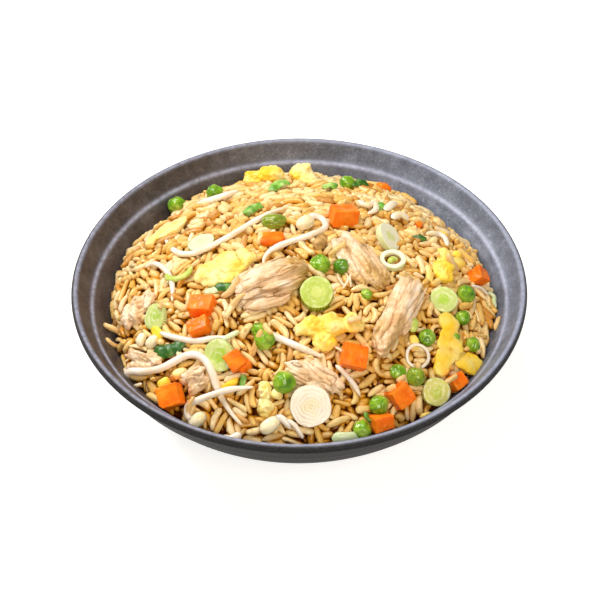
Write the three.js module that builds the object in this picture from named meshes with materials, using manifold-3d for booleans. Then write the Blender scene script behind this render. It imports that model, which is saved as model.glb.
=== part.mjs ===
// A shallow stoneware bowl heaped with chicken fried rice.
//
// Millimetres, +Z up. The origin is the centre of the foot, on the table, and the diner sits at -Y.
// The bowl is turned, so it is one lathe body. The rice is one heap that fills it, with loose grains
// on top. Peas, carrot dice, scrambled egg, chicken, bean sprouts and spring onion lie on the heap,
// each of them a solid of its own.

import * as THREE from "three";
import { mergeVertices } from "three/addons/utils/BufferGeometryUtils.js";
import Module from "manifold-3d";

const wasm = await Module();
wasm.setup();

// ---------- driving dimensions ----------

const bowl = {
  radius: 95, // to the outside of the rim
  height: 46,
  footRadius: 45,
  footWidth: 4,
  footHeight: 3,
  floorHeight: 8, // top of the floor, at the centre
  lipRadius: 1.7, // the rolled edge
  ridgeRadius: 86.4, // the turned ridge inside the rim
  ridgeDrop: 8.4, // and how far it lies below the edge
  sides: 40,
};

const heap = {
  centreX: 1,
  radius: 82, // where the rice meets the wall
  edgeHeight: 33,
  topHeight: 62,
  roundness: 2.5, // 2 is a parabola, and more gives fuller shoulders
  lobeHeight: 0.9, // slow unevenness
  bareAngle: 190, // where the rice stops short of the wall
  bareSpan: 0.07, // how far round that goes, as one less the cosine of the angle
  bareInset: 8, // how far short it stops
  bareSlope: 5, // run of the drop to the wall, and its height
  bareDrop: 8,
  cell: 9, // size of the facets of the bare core
};

const grain = { length: 9, width: 2.9, height: 2.7, spacing: 13.6, lift: 0.3 };

const gap = 0.35; // left between pieces that touch
const tolerance = 0.15; // detail finer than this isn't kept

const degree = Math.PI / 180;

// ---------- materials ----------

function finish(color, roughness) {
  return new THREE.MeshStandardMaterial({ color, roughness, metalness: 0 });
}

const materials = {
  stoneware: finish("#4a4a52", 0.45),
  rice: finish("#dcb27c", 0.4),
  pea: finish("#5f9e20", 0.3),
  carrot: finish("#f07a14", 0.3),
  egg: finish("#f3cf57", 0.45),
  chicken: finish("#cfa477", 0.5),
  sprout: finish("#efe6d6", 0.3),
  onion: finish("#c6d77a", 0.35),
};

// ---------- solids and meshes ----------

function solidOf(geometry) {
  const bare = geometry.clone();
  bare.deleteAttribute("normal");
  bare.deleteAttribute("uv");
  const merged = mergeVertices(bare, 1e-3);
  return new wasm.Manifold(
    new wasm.Mesh({
      numProp: 3,
      vertProperties: merged.attributes.position.array,
      triVerts: new Uint32Array(merged.index.array),
    }),
  );
}

function geometryOf(solid) {
  const { numProp, numVert, vertProperties, triVerts } = solid.getMesh();
  const positions = new Float32Array(numVert * 3);
  for (let i = 0; i < numVert; i++) {
    positions.set(vertProperties.subarray(i * numProp, i * numProp + 3), i * 3);
  }
  const geometry = new THREE.BufferGeometry();
  geometry.setAttribute("position", new THREE.BufferAttribute(positions, 3));
  geometry.setIndex(new THREE.BufferAttribute(new Uint32Array(triVerts), 1));
  geometry.computeVertexNormals();
  return geometry;
}

// The largest body, because a cut can leave a crumb.
function largest(solid) {
  return solid.decompose().sort((a, b) => b.volume() - a.volume())[0];
}

// A solid that is larger all round by the gap: copies of it moved each way along the axes.
function grown(solid) {
  const moves = [-gap, gap].flatMap((d) => [[d, 0, 0], [0, d, 0], [0, 0, d]]);
  return wasm.Manifold.union(moves.map((move) => solid.translate(move)));
}

// A closed body turned about Z, from [radius, height] points that start and end on the axis.
function turned(points, sides) {
  const profile = points.map(([r, z]) => new THREE.Vector2(r, z));
  return new THREE.LatheGeometry(profile, sides).rotateX(Math.PI / 2);
}

// A repeatable draw between -1 and 1.
function makeDraw(seed) {
  let state = seed;
  return () => {
    state = (state * 16807) % 2147483647;
    return (state / 2147483647) * 2 - 1;
  };
}

// ---------- the bowl ----------

const rimInside = bowl.radius - 2 * bowl.lipRadius;

const outerWall = [
  [bowl.footRadius + 1.5, bowl.footHeight],
  [62, 7.5],
  [76.8, 16.3],
  [85.7, 27.6],
  [92.4, 40.4], // the groove under the rim
];

const innerWall = [
  [rimInside - 1.8, bowl.height - 4.6],
  [bowl.ridgeRadius + 0.8, bowl.height - bowl.ridgeDrop + 0.9],
  [bowl.ridgeRadius - 0.4, bowl.height - bowl.ridgeDrop],
  [84.8, 36],
  [82.4, 32.6],
  [77.8, 26.4],
  [70.4, 18.8],
  [55, 11.6],
  [30, 8.7],
];

function lipArc(steps) {
  const centre = [bowl.radius - bowl.lipRadius, bowl.height - bowl.lipRadius];
  const points = [];
  for (let i = 0; i <= steps; i++) {
    const angle = (180 * i * degree) / steps;
    points.push([
      centre[0] + bowl.lipRadius * Math.cos(angle),
      centre[1] + bowl.lipRadius * Math.sin(angle),
    ]);
  }
  return points;
}

function bowlGeometry() {
  const foot = [
    [0, bowl.footHeight],
    [bowl.footRadius - bowl.footWidth, bowl.footHeight],
    [bowl.footRadius - bowl.footWidth, 0],
    [bowl.footRadius, 0],
  ];
  const collar = [[bowl.radius - 1.2, bowl.height - 4.6]];
  return turned(
    [...foot, ...outerWall, ...collar, ...lipArc(4), ...innerWall, [0, bowl.floorHeight]],
    bowl.sides,
  );
}

// The space inside the bowl, a gap clear of its wall and open upwards.
function hollowSolid() {
  const wall = innerWall
    .slice(2)
    .filter((_, i) => i % 2 === 0)
    .map(([r, z]) => [r - gap, z + gap]);
  const roof = 40 + bowl.height;
  const top = [
    [0, roof],
    [rimInside - gap, roof],
    [rimInside - gap, bowl.height],
  ];
  return solidOf(turned([[0, bowl.floorHeight + gap], ...wall.reverse(), ...top.reverse()], bowl.sides));
}

// ---------- the heap ----------

function heapHeight(x, y) {
  const out = Math.hypot(x - heap.centreX, y);
  const lobes = Math.sin(x / 11 + 1.3) * Math.cos(y / 13 - 0.4) + 0.6 * Math.sin((x - y) / 7);
  const dome = (heap.topHeight - heap.edgeHeight) * (1 - (out / heap.radius) ** heap.roundness);
  const turned = Math.cos(Math.atan2(y, x - heap.centreX) - heap.bareAngle * degree);
  const brink = heap.radius + 1 - heap.bareInset * Math.exp((turned - 1) / heap.bareSpan);
  const past = Math.min(Math.max((out - brink) / heap.bareSlope, 0), 1);
  const drop = heap.bareDrop * past ** 2 * (3 - 2 * past);
  return heap.edgeHeight + dome + heap.lobeHeight * lobes - drop;
}

function heapPoint(x, y, lift = 0) {
  return new THREE.Vector3(x, y, heapHeight(x, y)).addScaledVector(heapNormal(x, y), lift);
}

// The way that the heap faces at a point, from its height over a few millimetres.
function heapNormal(x, y) {
  const step = 4;
  const slopeX = (heapHeight(x + step, y) - heapHeight(x - step, y)) / (2 * step);
  const slopeY = (heapHeight(x, y + step) - heapHeight(x, y - step)) / (2 * step);
  return new THREE.Vector3(-slopeX, -slopeY, 1).normalize();
}

// A block whose top has the heap's height everywhere. The bowl cuts the bare core out of it.
function blockSolid() {
  const width = 2 * (heap.radius + heap.cell);
  const cells = Math.round(width / heap.cell);
  const block = new THREE.BoxGeometry(width, width, bowl.height, cells, cells, 1);
  const position = block.attributes.position;
  for (let i = 0; i < position.count; i++) {
    const [x, y] = [position.getX(i) + heap.centreX, position.getY(i)];
    position.setXYZ(i, x, y, position.getZ(i) > 0 ? heapHeight(x, y) : 0);
  }
  return solidOf(block);
}

// ---------- placing ----------

// Lays a geometry on the heap: its own +Z goes along the heap's normal, turned about it first,
// then leaned by two angles about the world's X and Y.
function layOn(x, y, { lift = 0, turn = 0, leanX = 0, leanY = 0 } = {}) {
  const lean = new THREE.Quaternion().setFromEuler(new THREE.Euler(leanX * degree, leanY * degree, 0));
  const up = new THREE.Quaternion().setFromUnitVectors(new THREE.Vector3(0, 0, 1), heapNormal(x, y));
  const spin = new THREE.Quaternion().setFromAxisAngle(new THREE.Vector3(0, 0, 1), turn * degree);
  return new THREE.Matrix4().compose(
    heapPoint(x, y, lift),
    lean.multiply(up).multiply(spin),
    new THREE.Vector3(1, 1, 1),
  );
}

// ---------- the toppings ----------

// Moves each vertex in or out by a share drawn for its direction, so that merged corners stay together.
function roughen(geometry, share, seed) {
  const position = geometry.attributes.position;
  const v = new THREE.Vector3();
  for (let i = 0; i < position.count; i++) {
    v.fromBufferAttribute(position, i);
    const wave =
      Math.sin(5.1 * v.x + seed) + Math.sin(4.3 * v.y + 2.1 * seed) + Math.sin(4.7 * v.z + 0.7 * seed);
    v.multiplyScalar(1 + (share * wave) / 3);
    position.setXYZ(i, v.x, v.y, v.z);
  }
  return geometry;
}

// Peas: [x, y, radius]
const peas = [
  [-5.8, -62.5, 4.6],
  [8.3, -10.6, 4.2],
  [-13.7, -45.4, 4.3],
  [-10.4, 16.4, 4.3],
  [68, -8.8, 3.9],
  [-53, 57.6, 4.1],
  [50.5, -37.8, 3.5],
  [24, -75.9, 3.7],
  [45, -54.7, 3.9],
  [17.2, -10.4, 3.6],
  [38.5, -54.4, 3.2],
  [30.6, -67, 3.9],
  [69.5, -31.9, 3.2],
];

function peaGeometry(radius, seed) {
  return roughen(new THREE.SphereGeometry(1, 7, 5), 0.05, seed).scale(radius, radius, 0.94 * radius);
}

// Carrot dice: [x, y, length, width, height, turn, leanX, leanY]
const carrots = [
  [21, -52, 9.8, 9.4, 9.6, -8, 6, 0],
  [38.8, -62.4, 8.6, 8.4, 8, 45, 10, 4],
  [-49.6, -59.4, 9, 8.6, 8.8, 12, 8, 4],
  [18.6, 19.4, 10.6, 7.8, 8.2, 14, -8, 4],
  [-38.3, -27.3, 10.2, 7.2, 7.6, -12, 0, 6],
  [61.2, -50.6, 6.6, 6.4, 7.4, 38, 0, -6],
  [31.4, -72.4, 7.6, 7, 8.2, 14, 16, 0],
  [-38.8, -36.6, 8.4, 6, 7, 8, 4, 0],
  [-24.6, -52.4, 6.8, 6.8, 7.6, 30, 4, 0],
  [73.7, 4.3, 6.6, 6.2, 6.8, 20, 0, 10],
];

// Knife cuts are never quite square, so each corner of the block is moved a little.
function carrotGeometry(length, width, height, draw) {
  const block = new THREE.BoxGeometry(length, width, height);
  const moved = new Map();
  const position = block.attributes.position;
  for (let i = 0; i < position.count; i++) {
    const corner = [position.getX(i), position.getY(i), position.getZ(i)];
    const key = corner.map(Math.sign).join();
    if (!moved.has(key)) moved.set(key, corner.map((value) => value * (1 + 0.07 * draw())));
    position.setXYZ(i, ...moved.get(key));
  }
  return block;
}

// Spring onion slices: [x, y, radius, thickness, hole radius, turn, leanX, leanY, stretch]
const onions = [
  [7, -25.9, 6.7, 5.4, 0, 0, 16, 0, 1],
  [4.1, -70, 8.2, 3.4, 0, 0, 10, 2, 1],
  [-31.1, -49.4, 6.5, 3, 0, 0, 16, -14, 1],
  [53, -57.2, 5.7, 3, 0, 0, 12, -14, 1],
  [57.9, -17.3, 5.6, 2.8, 0, 0, 16, -20, 1],
  [36.1, 10.8, 6.4, 3, 0, 40, 8, 28, 1],
  [46.3, -46.8, 5.1, 2, 3.9, 0, 18, -12, 1],
  [38, -2.8, 5.4, 2.4, 3, 0, 6, -8, 1],
  [-57.2, -24.6, 4.9, 2.6, 0, 62, 22, -8, 1.15],
  [-40, 10.3, 5.2, 2, 0, 20, 2, 0, 1.1],
];

function onionGeometry(radius, thickness, hole, stretch) {
  const half = thickness / 2;
  const disc = new THREE.CylinderGeometry(radius, 0.97 * radius, thickness, 12).rotateX(Math.PI / 2);
  const ring = [
    [hole, -half],
    [radius, -half],
    [radius, half],
    [hole, half],
    [hole, -half],
  ];
  return (hole ? turned(ring, 12) : disc).scale(stretch, 1, 1);
}

// Scrambled egg: each piece is some soft lumps, [x, y, radius x, radius y, radius z, turn, lift]
const eggs = [
  [
    [5, -40, 7, 4.8, 3.4, 10, 1.2],
    [13.6, -39.6, 7, 5, 4, 0, 1.6],
    [20.4, -38.4, 5.8, 4.2, 3.2, 20, 1.2],
    [9.6, -46, 5, 4.6, 3.2, 0, 0.8],
  ],
  [
    [60.5, -27.5, 4.6, 6.2, 3.6, 10, 1.4],
    [60, -36, 6, 8, 4, 4, 2],
    [57, -45, 4.8, 6.6, 3.2, -24, 1],
    [67.6, -40.3, 8, 4.4, 3.2, 12, 1.6],
  ],
  [
    [-35, -10, 8, 6.6, 4.6, 10, 1.4],
    [-28, -7, 8, 6.8, 5, 20, 1.8],
    [-22.4, -4, 6, 5.4, 4.4, 0, 1.2],
    [-29, -13.4, 6, 4.4, 3.4, 0, 1],
  ],
  [
    [60, 7, 4, 5.6, 4.2, 0, 1.4],
    [59, -1.5, 4.8, 6.6, 4.8, 8, 1.8],
  ],
  [
    [-18.8, 60, 5.4, 5.2, 5.2, 0, 2.4],
    [-12.2, 61.5, 6.6, 5.4, 6.4, 10, 3],
  ],
  [
    [-59, 25.6, 6.8, 4.6, 4.2, 20, 1],
    [-52.6, 28.6, 7.4, 4.8, 4.6, 20, 1.4],
  ],
  [
    [1.4, 64, 5.6, 5.2, 6.8, 0, 3.2],
    [4, 60.4, 4, 4.4, 4.4, 0, 1.4],
  ],
  [
    [-13, -64.4, 3, 4.2, 3, 10, 1.2],
    [-13.6, -69.8, 3.8, 3.8, 3, 0, 1],
  ],
];

function eggSolid(lumps, seed) {
  return wasm.Manifold.union(
    lumps.map(([x, y, radiusX, radiusY, radiusZ, turn, lift], i) => {
      const lump = roughen(new THREE.SphereGeometry(1, 6, 5), 0.14, seed + 2 * i);
      return solidOf(lump.scale(radiusX, radiusY, radiusZ).applyMatrix4(layOn(x, y, { lift, turn })));
    }),
  );
}

// Chicken: torn pieces of strands that lie side by side.
// Each is [x, y, length, turn, strands], and a strand is [across, along, share of length, width, height, lift]
const chicken = [
  [-12, -20.5, 33, 24, [
    [7, 0, 0.8, 7, 8, 1.6],
    [3.4, 1, 0.95, 7.4, 11, 2.8],
    [-0.6, 0.6, 1, 7.4, 12, 3.2],
    [-4.4, -1, 0.9, 7, 10, 2.2],
    [-7.8, -4, 0.66, 6, 7, 1],
  ]],
  [24.6, -6.5, 34, -62, [
    [-4.6, -1, 0.84, 7.4, 7, 1.8],
    [0, 0, 1, 8, 9, 2.8],
    [4.4, 2, 0.8, 7, 7, 2],
  ]],
  [39.2, -32.6, 43, -111, [
    [-3.2, -1, 0.9, 5.8, 7.6, 2],
    [0.4, 0, 1, 6.4, 9.4, 2.8],
    [3.8, -5, 0.62, 5, 6.4, 1.6],
  ]],
  [5.4, -60.4, 23, -31, [
    [-3.6, -2, 0.8, 4.4, 4.8, 0.8],
    [0, 0, 1, 4.8, 6, 1.6],
    [3.6, 2, 0.84, 4.4, 4.8, 0.8],
  ]],
  [-65.2, -16.6, 14, 82, [
    [-3.8, 2.4, 0.8, 5.6, 6.4, 1.4],
    [0, 0.4, 1, 6.6, 7.6, 1.8],
    [4.2, -0.6, 0.86, 6, 6.4, 1.2],
  ]],
  [-40.2, -56.4, 9.6, 20, [
    [-2, 0, 1, 5, 6, 1.6],
    [1.8, 0, 0.94, 5, 7, 2],
  ]],
  [-62.6, -40.6, 21, -24, [
    [-1.6, 1, 0.9, 3.8, 3.4, 0.8],
    [1.6, -1, 1, 4.2, 3.8, 1.2],
  ]],
];

function chickenSolid([x, y, length, turn, strands], seed) {
  const along = new THREE.Vector2(Math.cos(turn * degree), Math.sin(turn * degree));
  return wasm.Manifold.union(
    strands.map(([across, shift, share, width, height, lift], i) => {
      const strand = roughen(new THREE.CapsuleGeometry(0.5, 1, 2, 5).rotateZ(Math.PI / 2), 0.1, seed + i);
      const [atX, atY] = [
        x + shift * along.x - across * along.y,
        y + shift * along.y + across * along.x,
      ];
      strand.scale((share * length) / 2, width, height);
      return solidOf(strand.applyMatrix4(layOn(atX, atY, { lift, turn })));
    }),
  );
}

// Bean sprouts: a route of [x, y, lift] points, a stem radius, and the radius of a head at the start.
const sprouts = [
  { stem: 1.5, head: 0, route: [
    [-62.3, -48.7, 1.35], [-68, -45.6, 1.75], [-70, -42.8, 1.75], [-68, -41.6, 1.75], [-61.7, -44.6, 1.75],
    [-54.6, -46.6, 1.95], [-49.2, -46.6, 2.15], [-44, -46.4, 2.55], [-39.8, -47.6, 2.75], [-36.3, -50.6, 2.75],
    [-33.8, -55.2, 2.15], [-32.2, -59.5, 1.75], [-30, -64, 1.55], [-26.3, -69.5, 1.55], [-22.1, -74.3, 1.55],
  ] },
  { stem: 1.3, head: 0, route: [
    [-55.7, 19.4, 1.5], [-53.2, 12.8, 1.5], [-49.4, 7.4, 1.5], [-43.8, 4.4, 1.7], [-38.6, 4.8, 1.9],
    [-28.1, 10, 2.1], [-20, 16.2, 1.9], [-11.9, 22.6, 1.7], [-4.2, 27.6, 1.5],
  ] },
  { stem: 1.4, head: 3.7, route: [
    [2.6, 13.6, 3.1], [5.6, 18.4, 3.1], [9.4, 18, 2.25], [11, 13.4, 2.05], [9.6, 9.6, 2.05],
    [5.6, 6.6, 2.05], [0, 4, 2.05], [-6.6, 1.4, 2.05], [-11.4, -1.6, 2.05], [-13.8, -5.4, 1.85], [-14.2, -9.4, 1.65],
  ] },
  { stem: 1.3, head: 3.7, route: [
    [-40, -68.6, 1.3], [-43.6, -67, 1.7], [-43.6, -63.6, 1.9], [-38.6, -62.8, 3.9], [-32.4, -62.3, 5.1],
    [-25.6, -62, 4.1], [-17.2, -62.6, 1.9],
  ] },
  { stem: 1.25, head: 0, route: [
    [-56, -31.4, 1.55], [-52.3, -34.2, 1.55], [-46, -38.4, 1.65], [-40, -41.6, 1.75], [-33.6, -42.6, 1.75],
    [-27, -43.2, 1.55],
  ] },
  { stem: 1.45, head: 0, route: [
    [-15.8, -40.6, 1.6], [-10.6, -43.4, 1.8], [-5.4, -46.2, 1.8], [2, -50.2, 1.8], [9.2, -52.8, 1.6],
  ] },
  { stem: 1.5, head: 0, route: [
    [-43.6, 43.2, 1.65], [-38.4, 41.4, 1.85], [-32, 42.4, 1.85], [-25.2, 46.4, 1.65],
  ] },
  { stem: 1.15, head: 0, route: [
    [-63.8, 5.2, 1.45], [-60.6, 5.4, 1.85], [-57, 2.6, 1.85], [-53.2, -4, 1.65], [-51.2, -12, 1.45],
    [-51, -20.2, 1.45],
  ] },
  { stem: 1.3, head: 3.9, route: [
    [-11.4, -75.4, 1.3], [-8, -73.4, 1.5], [-5.2, -75, 1.5], [-3.4, -77.2, 1.3],
  ] },
  { stem: 1.05, head: 0, route: [
    [13.8, -55, 1.3], [18, -58, 1.3], [21.6, -62, 1.5], [23.6, -65.4, 1.5],
  ] },
];

// A tube along the route that thins towards the end, joined to its head.
function sproutSolid({ stem, head, route }) {
  const path = new THREE.CatmullRomCurve3(route.map(([x, y, lift]) => heapPoint(x, y, lift)));
  const steps = Math.max(6, Math.round(path.getLength() / 4.5));
  const section = new THREE.Shape(
    Array.from({ length: 5 }, (_, i) => {
      const angle = i * 72 * degree;
      return new THREE.Vector2(stem * Math.cos(angle), stem * Math.sin(angle));
    }),
  );
  const tube = new THREE.ExtrudeGeometry(section, { extrudePath: path, steps });
  const centres = path.getSpacedPoints(steps);
  const position = tube.attributes.position;
  const v = new THREE.Vector3();
  for (let i = 0; i < position.count; i++) {
    v.fromBufferAttribute(position, i);
    const nearest = centres.reduce((best, c, k) => (c.distanceTo(v) < centres[best].distanceTo(v) ? k : best), 0);
    const share = nearest / steps;
    const fromStart = head ? 1 : Math.min(1, 0.55 + 2.5 * share);
    const thickness = fromStart * Math.min(1, 0.5 + 2.5 * (1 - share));
    v.lerpVectors(centres[nearest], v, thickness);
    position.setXYZ(i, v.x, v.y, v.z);
  }
  const stalk = solidOf(tube);
  if (!head) return stalk;
  const [x, y, lift] = route[0];
  const bean = new THREE.SphereGeometry(1, 7, 5).scale(head * 1.15, head * 0.8, head * 0.8);
  return stalk.add(solidOf(bean.applyMatrix4(layOn(x, y, { lift, turn: 35 }))));
}

// ---------- small things that are fused to the rice ----------

// Half-buried peas, onion bits and crumbs of egg: [x, y, half length, half width, half height, turn]
const bits = [
  [-36, 52, 4, 4, 3.8, 0],
  [66, -21.6, 3.4, 3, 3.4, 0],
  [-52.4, -43, 2.1, 2.1, 2.4, 0],
  [21, 55, 4, 3.4, 3.4, 0],
  [-11, 6.4, 5, 3, 3, 10],
  [50, -66, 2.8, 2, 2.4, 0],
  [-46.6, -9.6, 4.6, 2.6, 2, 20],
  [15, -79, 4, 2.4, 2.4, 8],
  [10, 50, 5, 3, 2.2, 0],
  [-19.6, 29, 4, 2.6, 2.6, 50],
  [-10, 46.6, 4.4, 3, 2.6, 30],
  [-35.6, -19.4, 5, 2.4, 2.2, 10],
  [30.6, 32, 4, 3.4, 2, 60],
  [58, 21, 5, 1.8, 1.8, -20],
  [9, 1, 3.4, 2.8, 2.8, 0],
  [35, 47, 3.4, 3, 3.2, 15],
  [-62, -35, 2.6, 1.4, 1.6, 60],
];

function bitSolid([x, y, halfLength, halfWidth, halfHeight, turn]) {
  const bit = new THREE.IcosahedronGeometry(1, 0).scale(halfLength, halfWidth, halfHeight);
  return solidOf(bit.applyMatrix4(layOn(x, y, { lift: 0.2 * halfHeight, turn })));
}

// Loose grains over the whole heap, one near each step of a spiral, where one fits between the toppings.
function grainSolids(toppings) {
  const draw = makeDraw(4021);
  const form = new THREE.OctahedronGeometry(0.5).scale(grain.length, grain.width, grain.height);
  const count = Math.floor(Math.PI * (heap.radius / grain.spacing) ** 2);
  const golden = 137.508 * degree;
  const grains = [];
  const placeNear = (reach, angle) => {
    const x = heap.centreX + reach * Math.cos(angle) + 2.4 * draw();
    const y = reach * Math.sin(angle) + 2.4 * draw();
    const lean = 14 * draw();
    const placed = layOn(x, y, { lift: grain.lift, turn: 180 * draw(), leanX: lean, leanY: lean });
    return solidOf(form.clone().applyMatrix4(placed));
  };
  for (let i = 0; i < count; i++) {
    const reach = (heap.radius - 2.5) * Math.sqrt((i + 0.5) / count);
    const tries = Array.from({ length: 6 }, () => placeNear(reach, i * golden));
    const fitting = tries.find((solid) => solid.intersect(toppings).isEmpty());
    if (fitting) grains.push(fitting);
  }
  return grains;
}

// ---------- building ----------

const hollow = hollowSolid();
const block = blockSolid();
const core = block.intersect(hollow);
const raisedBlock = block.translate([0, 0, gap]);
const model = new THREE.Group();
const grownToppings = [];

// Adds a solid as a mesh whose own origin is at a point on the piece.
function addMesh(name, solid, origin, material) {
  const mesh = new THREE.Mesh(geometryOf(solid.translate([-origin.x, -origin.y, -origin.z])), material);
  mesh.name = name;
  mesh.position.copy(origin);
  model.add(mesh);
}

// A topping keeps what lies above the core, inside the bowl and outside the toppings before it.
function addTopping(kind, index, solid, x, y) {
  const name = kind + "_" + String(index + 1).padStart(2, "0");
  const near = grownToppings.filter((other) => !other.intersect(solid).isEmpty());
  const others = wasm.Manifold.union([raisedBlock, ...near]);
  const fitted = largest(solid.subtract(others).intersect(hollow).simplify(tolerance));
  grownToppings.push(grown(fitted));
  addMesh(name, fitted, heapPoint(x, y), materials[kind]);
}

addMesh("bowl", solidOf(bowlGeometry()), new THREE.Vector3(), materials.stoneware);

for (const [i, spec] of sprouts.entries()) {
  const [x, y] = spec.route[0];
  addTopping("sprout", i, sproutSolid(spec), x, y);
}

for (const [i, spec] of chicken.entries()) {
  addTopping("chicken", i, chickenSolid(spec, i + 1), spec[0], spec[1]);
}

for (const [i, lumps] of eggs.entries()) {
  addTopping("egg", i, eggSolid(lumps, i + 1), lumps[0][0], lumps[0][1]);
}

for (const [i, [x, y, radius, thickness, hole, turn, leanX, leanY, stretch]] of onions.entries()) {
  const placed = layOn(x, y, { lift: thickness / 2 + 0.6, turn, leanX, leanY });
  const slice = onionGeometry(radius, thickness, hole, stretch).applyMatrix4(placed);
  addTopping("onion", i, solidOf(slice), x, y);
}

const carrotDraw = makeDraw(77);
for (const [i, [x, y, length, width, height, turn, leanX, leanY]] of carrots.entries()) {
  const placed = layOn(x, y, { lift: 0.3 * height, turn, leanX, leanY });
  const dice = carrotGeometry(length, width, height, carrotDraw).applyMatrix4(placed);
  addTopping("carrot", i, solidOf(dice), x, y);
}

for (const [i, [x, y, radius]] of peas.entries()) {
  const placed = layOn(x, y, { lift: 0.45 * radius, turn: 40 * i });
  addTopping("pea", i, solidOf(peaGeometry(radius, i).applyMatrix4(placed)), x, y);
}

// What lies loose on the rice is fused to it, where it meets no topping.
const allToppings = wasm.Manifold.union(grownToppings);
const clearBits = bits.map(bitSolid).filter((solid) => solid.intersect(allToppings).isEmpty());
const rice = wasm.Manifold.union([core, ...clearBits, ...grainSolids(allToppings)]).intersect(hollow);
addMesh("rice_heap", largest(rice.simplify(tolerance)), heapPoint(heap.centreX, 0), materials.rice);

export default model;
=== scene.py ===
import math
import bpy
import numpy as np
from mathutils import Euler, Matrix, Quaternion, Vector, noise
from mathutils.bvhtree import BVHTree
from mathutils.kdtree import KDTree


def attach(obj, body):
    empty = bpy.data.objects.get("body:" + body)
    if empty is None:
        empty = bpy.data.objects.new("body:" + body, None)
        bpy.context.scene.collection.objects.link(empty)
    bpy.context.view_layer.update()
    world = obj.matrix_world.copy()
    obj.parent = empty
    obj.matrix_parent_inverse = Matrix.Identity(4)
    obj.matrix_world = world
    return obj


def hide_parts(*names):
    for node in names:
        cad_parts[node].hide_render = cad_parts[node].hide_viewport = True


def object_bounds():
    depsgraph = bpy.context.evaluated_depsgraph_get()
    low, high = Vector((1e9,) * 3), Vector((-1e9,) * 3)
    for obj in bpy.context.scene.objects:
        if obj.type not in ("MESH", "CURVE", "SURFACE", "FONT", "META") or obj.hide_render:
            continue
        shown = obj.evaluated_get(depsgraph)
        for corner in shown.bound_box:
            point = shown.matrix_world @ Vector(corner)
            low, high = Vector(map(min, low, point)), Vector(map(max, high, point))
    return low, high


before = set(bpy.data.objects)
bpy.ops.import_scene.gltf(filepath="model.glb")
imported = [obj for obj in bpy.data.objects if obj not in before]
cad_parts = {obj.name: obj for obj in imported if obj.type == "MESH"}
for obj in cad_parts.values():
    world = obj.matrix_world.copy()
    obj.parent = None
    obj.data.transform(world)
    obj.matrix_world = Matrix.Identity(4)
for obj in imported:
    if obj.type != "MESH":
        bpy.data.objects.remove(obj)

mm = 0.001  # the dictionaries below are in millimetres, the meshes in metres
cadLow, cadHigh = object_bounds()
print("frame loaded:", len(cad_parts), "nodes")


def deselectAll():
    if bpy.context.object and bpy.context.object.mode != "OBJECT":
        bpy.ops.object.mode_set(mode="OBJECT")
    bpy.ops.object.select_all(action="DESELECT")


def makeActive(piece):
    deselectAll()
    piece.select_set(True)
    bpy.context.view_layer.objects.active = piece


def applyModifier(piece, kind, **settings):
    makeActive(piece)
    modifier = piece.modifiers.new(kind, kind)
    for key, value in settings.items():
        setattr(modifier, key, value)
    bpy.ops.object.modifier_apply(modifier=modifier.name)


def hexColor(text):  # sRGB hex to the linear colour that a shader wants
    channels = [int(text[i:i + 2], 16) / 255 for i in (1, 3, 5)]
    return [c / 12.92 if c <= 0.04045 else ((c + 0.055) / 1.055) ** 2.4 for c in channels] + [1.0]


def addNode(tree, kind, settings={}, output=0, stops=(), **inputs):  # gives the output that is read next
    node = tree.nodes.new("ShaderNode" + kind)
    for key, value in settings.items():
        setattr(node, key, value)
    for key, value in inputs.items():  # "_" stands for a space, and i0, i1 for an input by its number
        socket = node.inputs[int(key[1:]) if key[1:].isdigit() else key.replace("_", " ")]
        if isinstance(value, bpy.types.NodeSocket):
            tree.links.new(value, socket)
        else:
            socket.default_value = value
    if stops:
        colors = node.color_ramp.elements
        while len(colors) < len(stops):
            colors.new(0.5)
        for element, (place, color) in zip(colors, stops):
            element.position = place
            element.color = hexColor(color)
    return node.outputs[output] if len(node.outputs) else node


def newMaterial(name):
    material = bpy.data.materials.new(name)
    material.use_nodes = True
    material.node_tree.nodes.clear()
    return material, material.node_tree


# A mask is a value that the mesh holds, given by name, or clouds, given by size in millimetres and detail.
def maskOf(tree, where, share=1, more=0):
    if isinstance(where, str):
        mask = addNode(tree, "Attribute", {"attribute_name": where}, "Fac")
    else:
        coords = addNode(tree, "TexCoord", output="Object")
        mask = addNode(tree, "TexNoise", Vector=coords, Scale=1 / (where[0] * mm), Detail=where[1])
    if isinstance(more, tuple):
        more = maskOf(tree, *more)
    return addNode(tree, "Math", {"operation": "MULTIPLY_ADD"}, i0=mask, i1=share, i2=more)


def colorOf(tree, tone):  # a plain colour, or a mask and the colours from its low to its high values
    if isinstance(tone, str):
        return hexColor(tone)
    mask, *stops = tone
    return addNode(tree, "ValToRGB", stops=stops, Fac=maskOf(tree, *mask))


# Layers are laid on in turn, each with its mask, its colour and, where it isn't full, its share and more.
def foodMaterial(name, tone, layers, relief, **surface):
    material, tree = newMaterial(name)
    color = colorOf(tree, tone)
    for where, over, *strength in layers:
        mask = maskOf(tree, where, *strength)
        color = addNode(tree, "Mix", {"data_type": "RGBA"}, 2, i0=mask, i6=color, i7=colorOf(tree, over))
    pattern, depth = relief
    normal = addNode(tree, "Bump", Height=maskOf(tree, pattern), Distance=depth * mm)
    shader = addNode(tree, "BsdfPrincipled", Base_Color=color, Normal=normal, **surface)
    addNode(tree, "OutputMaterial", Surface=shader)
    return material


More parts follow.
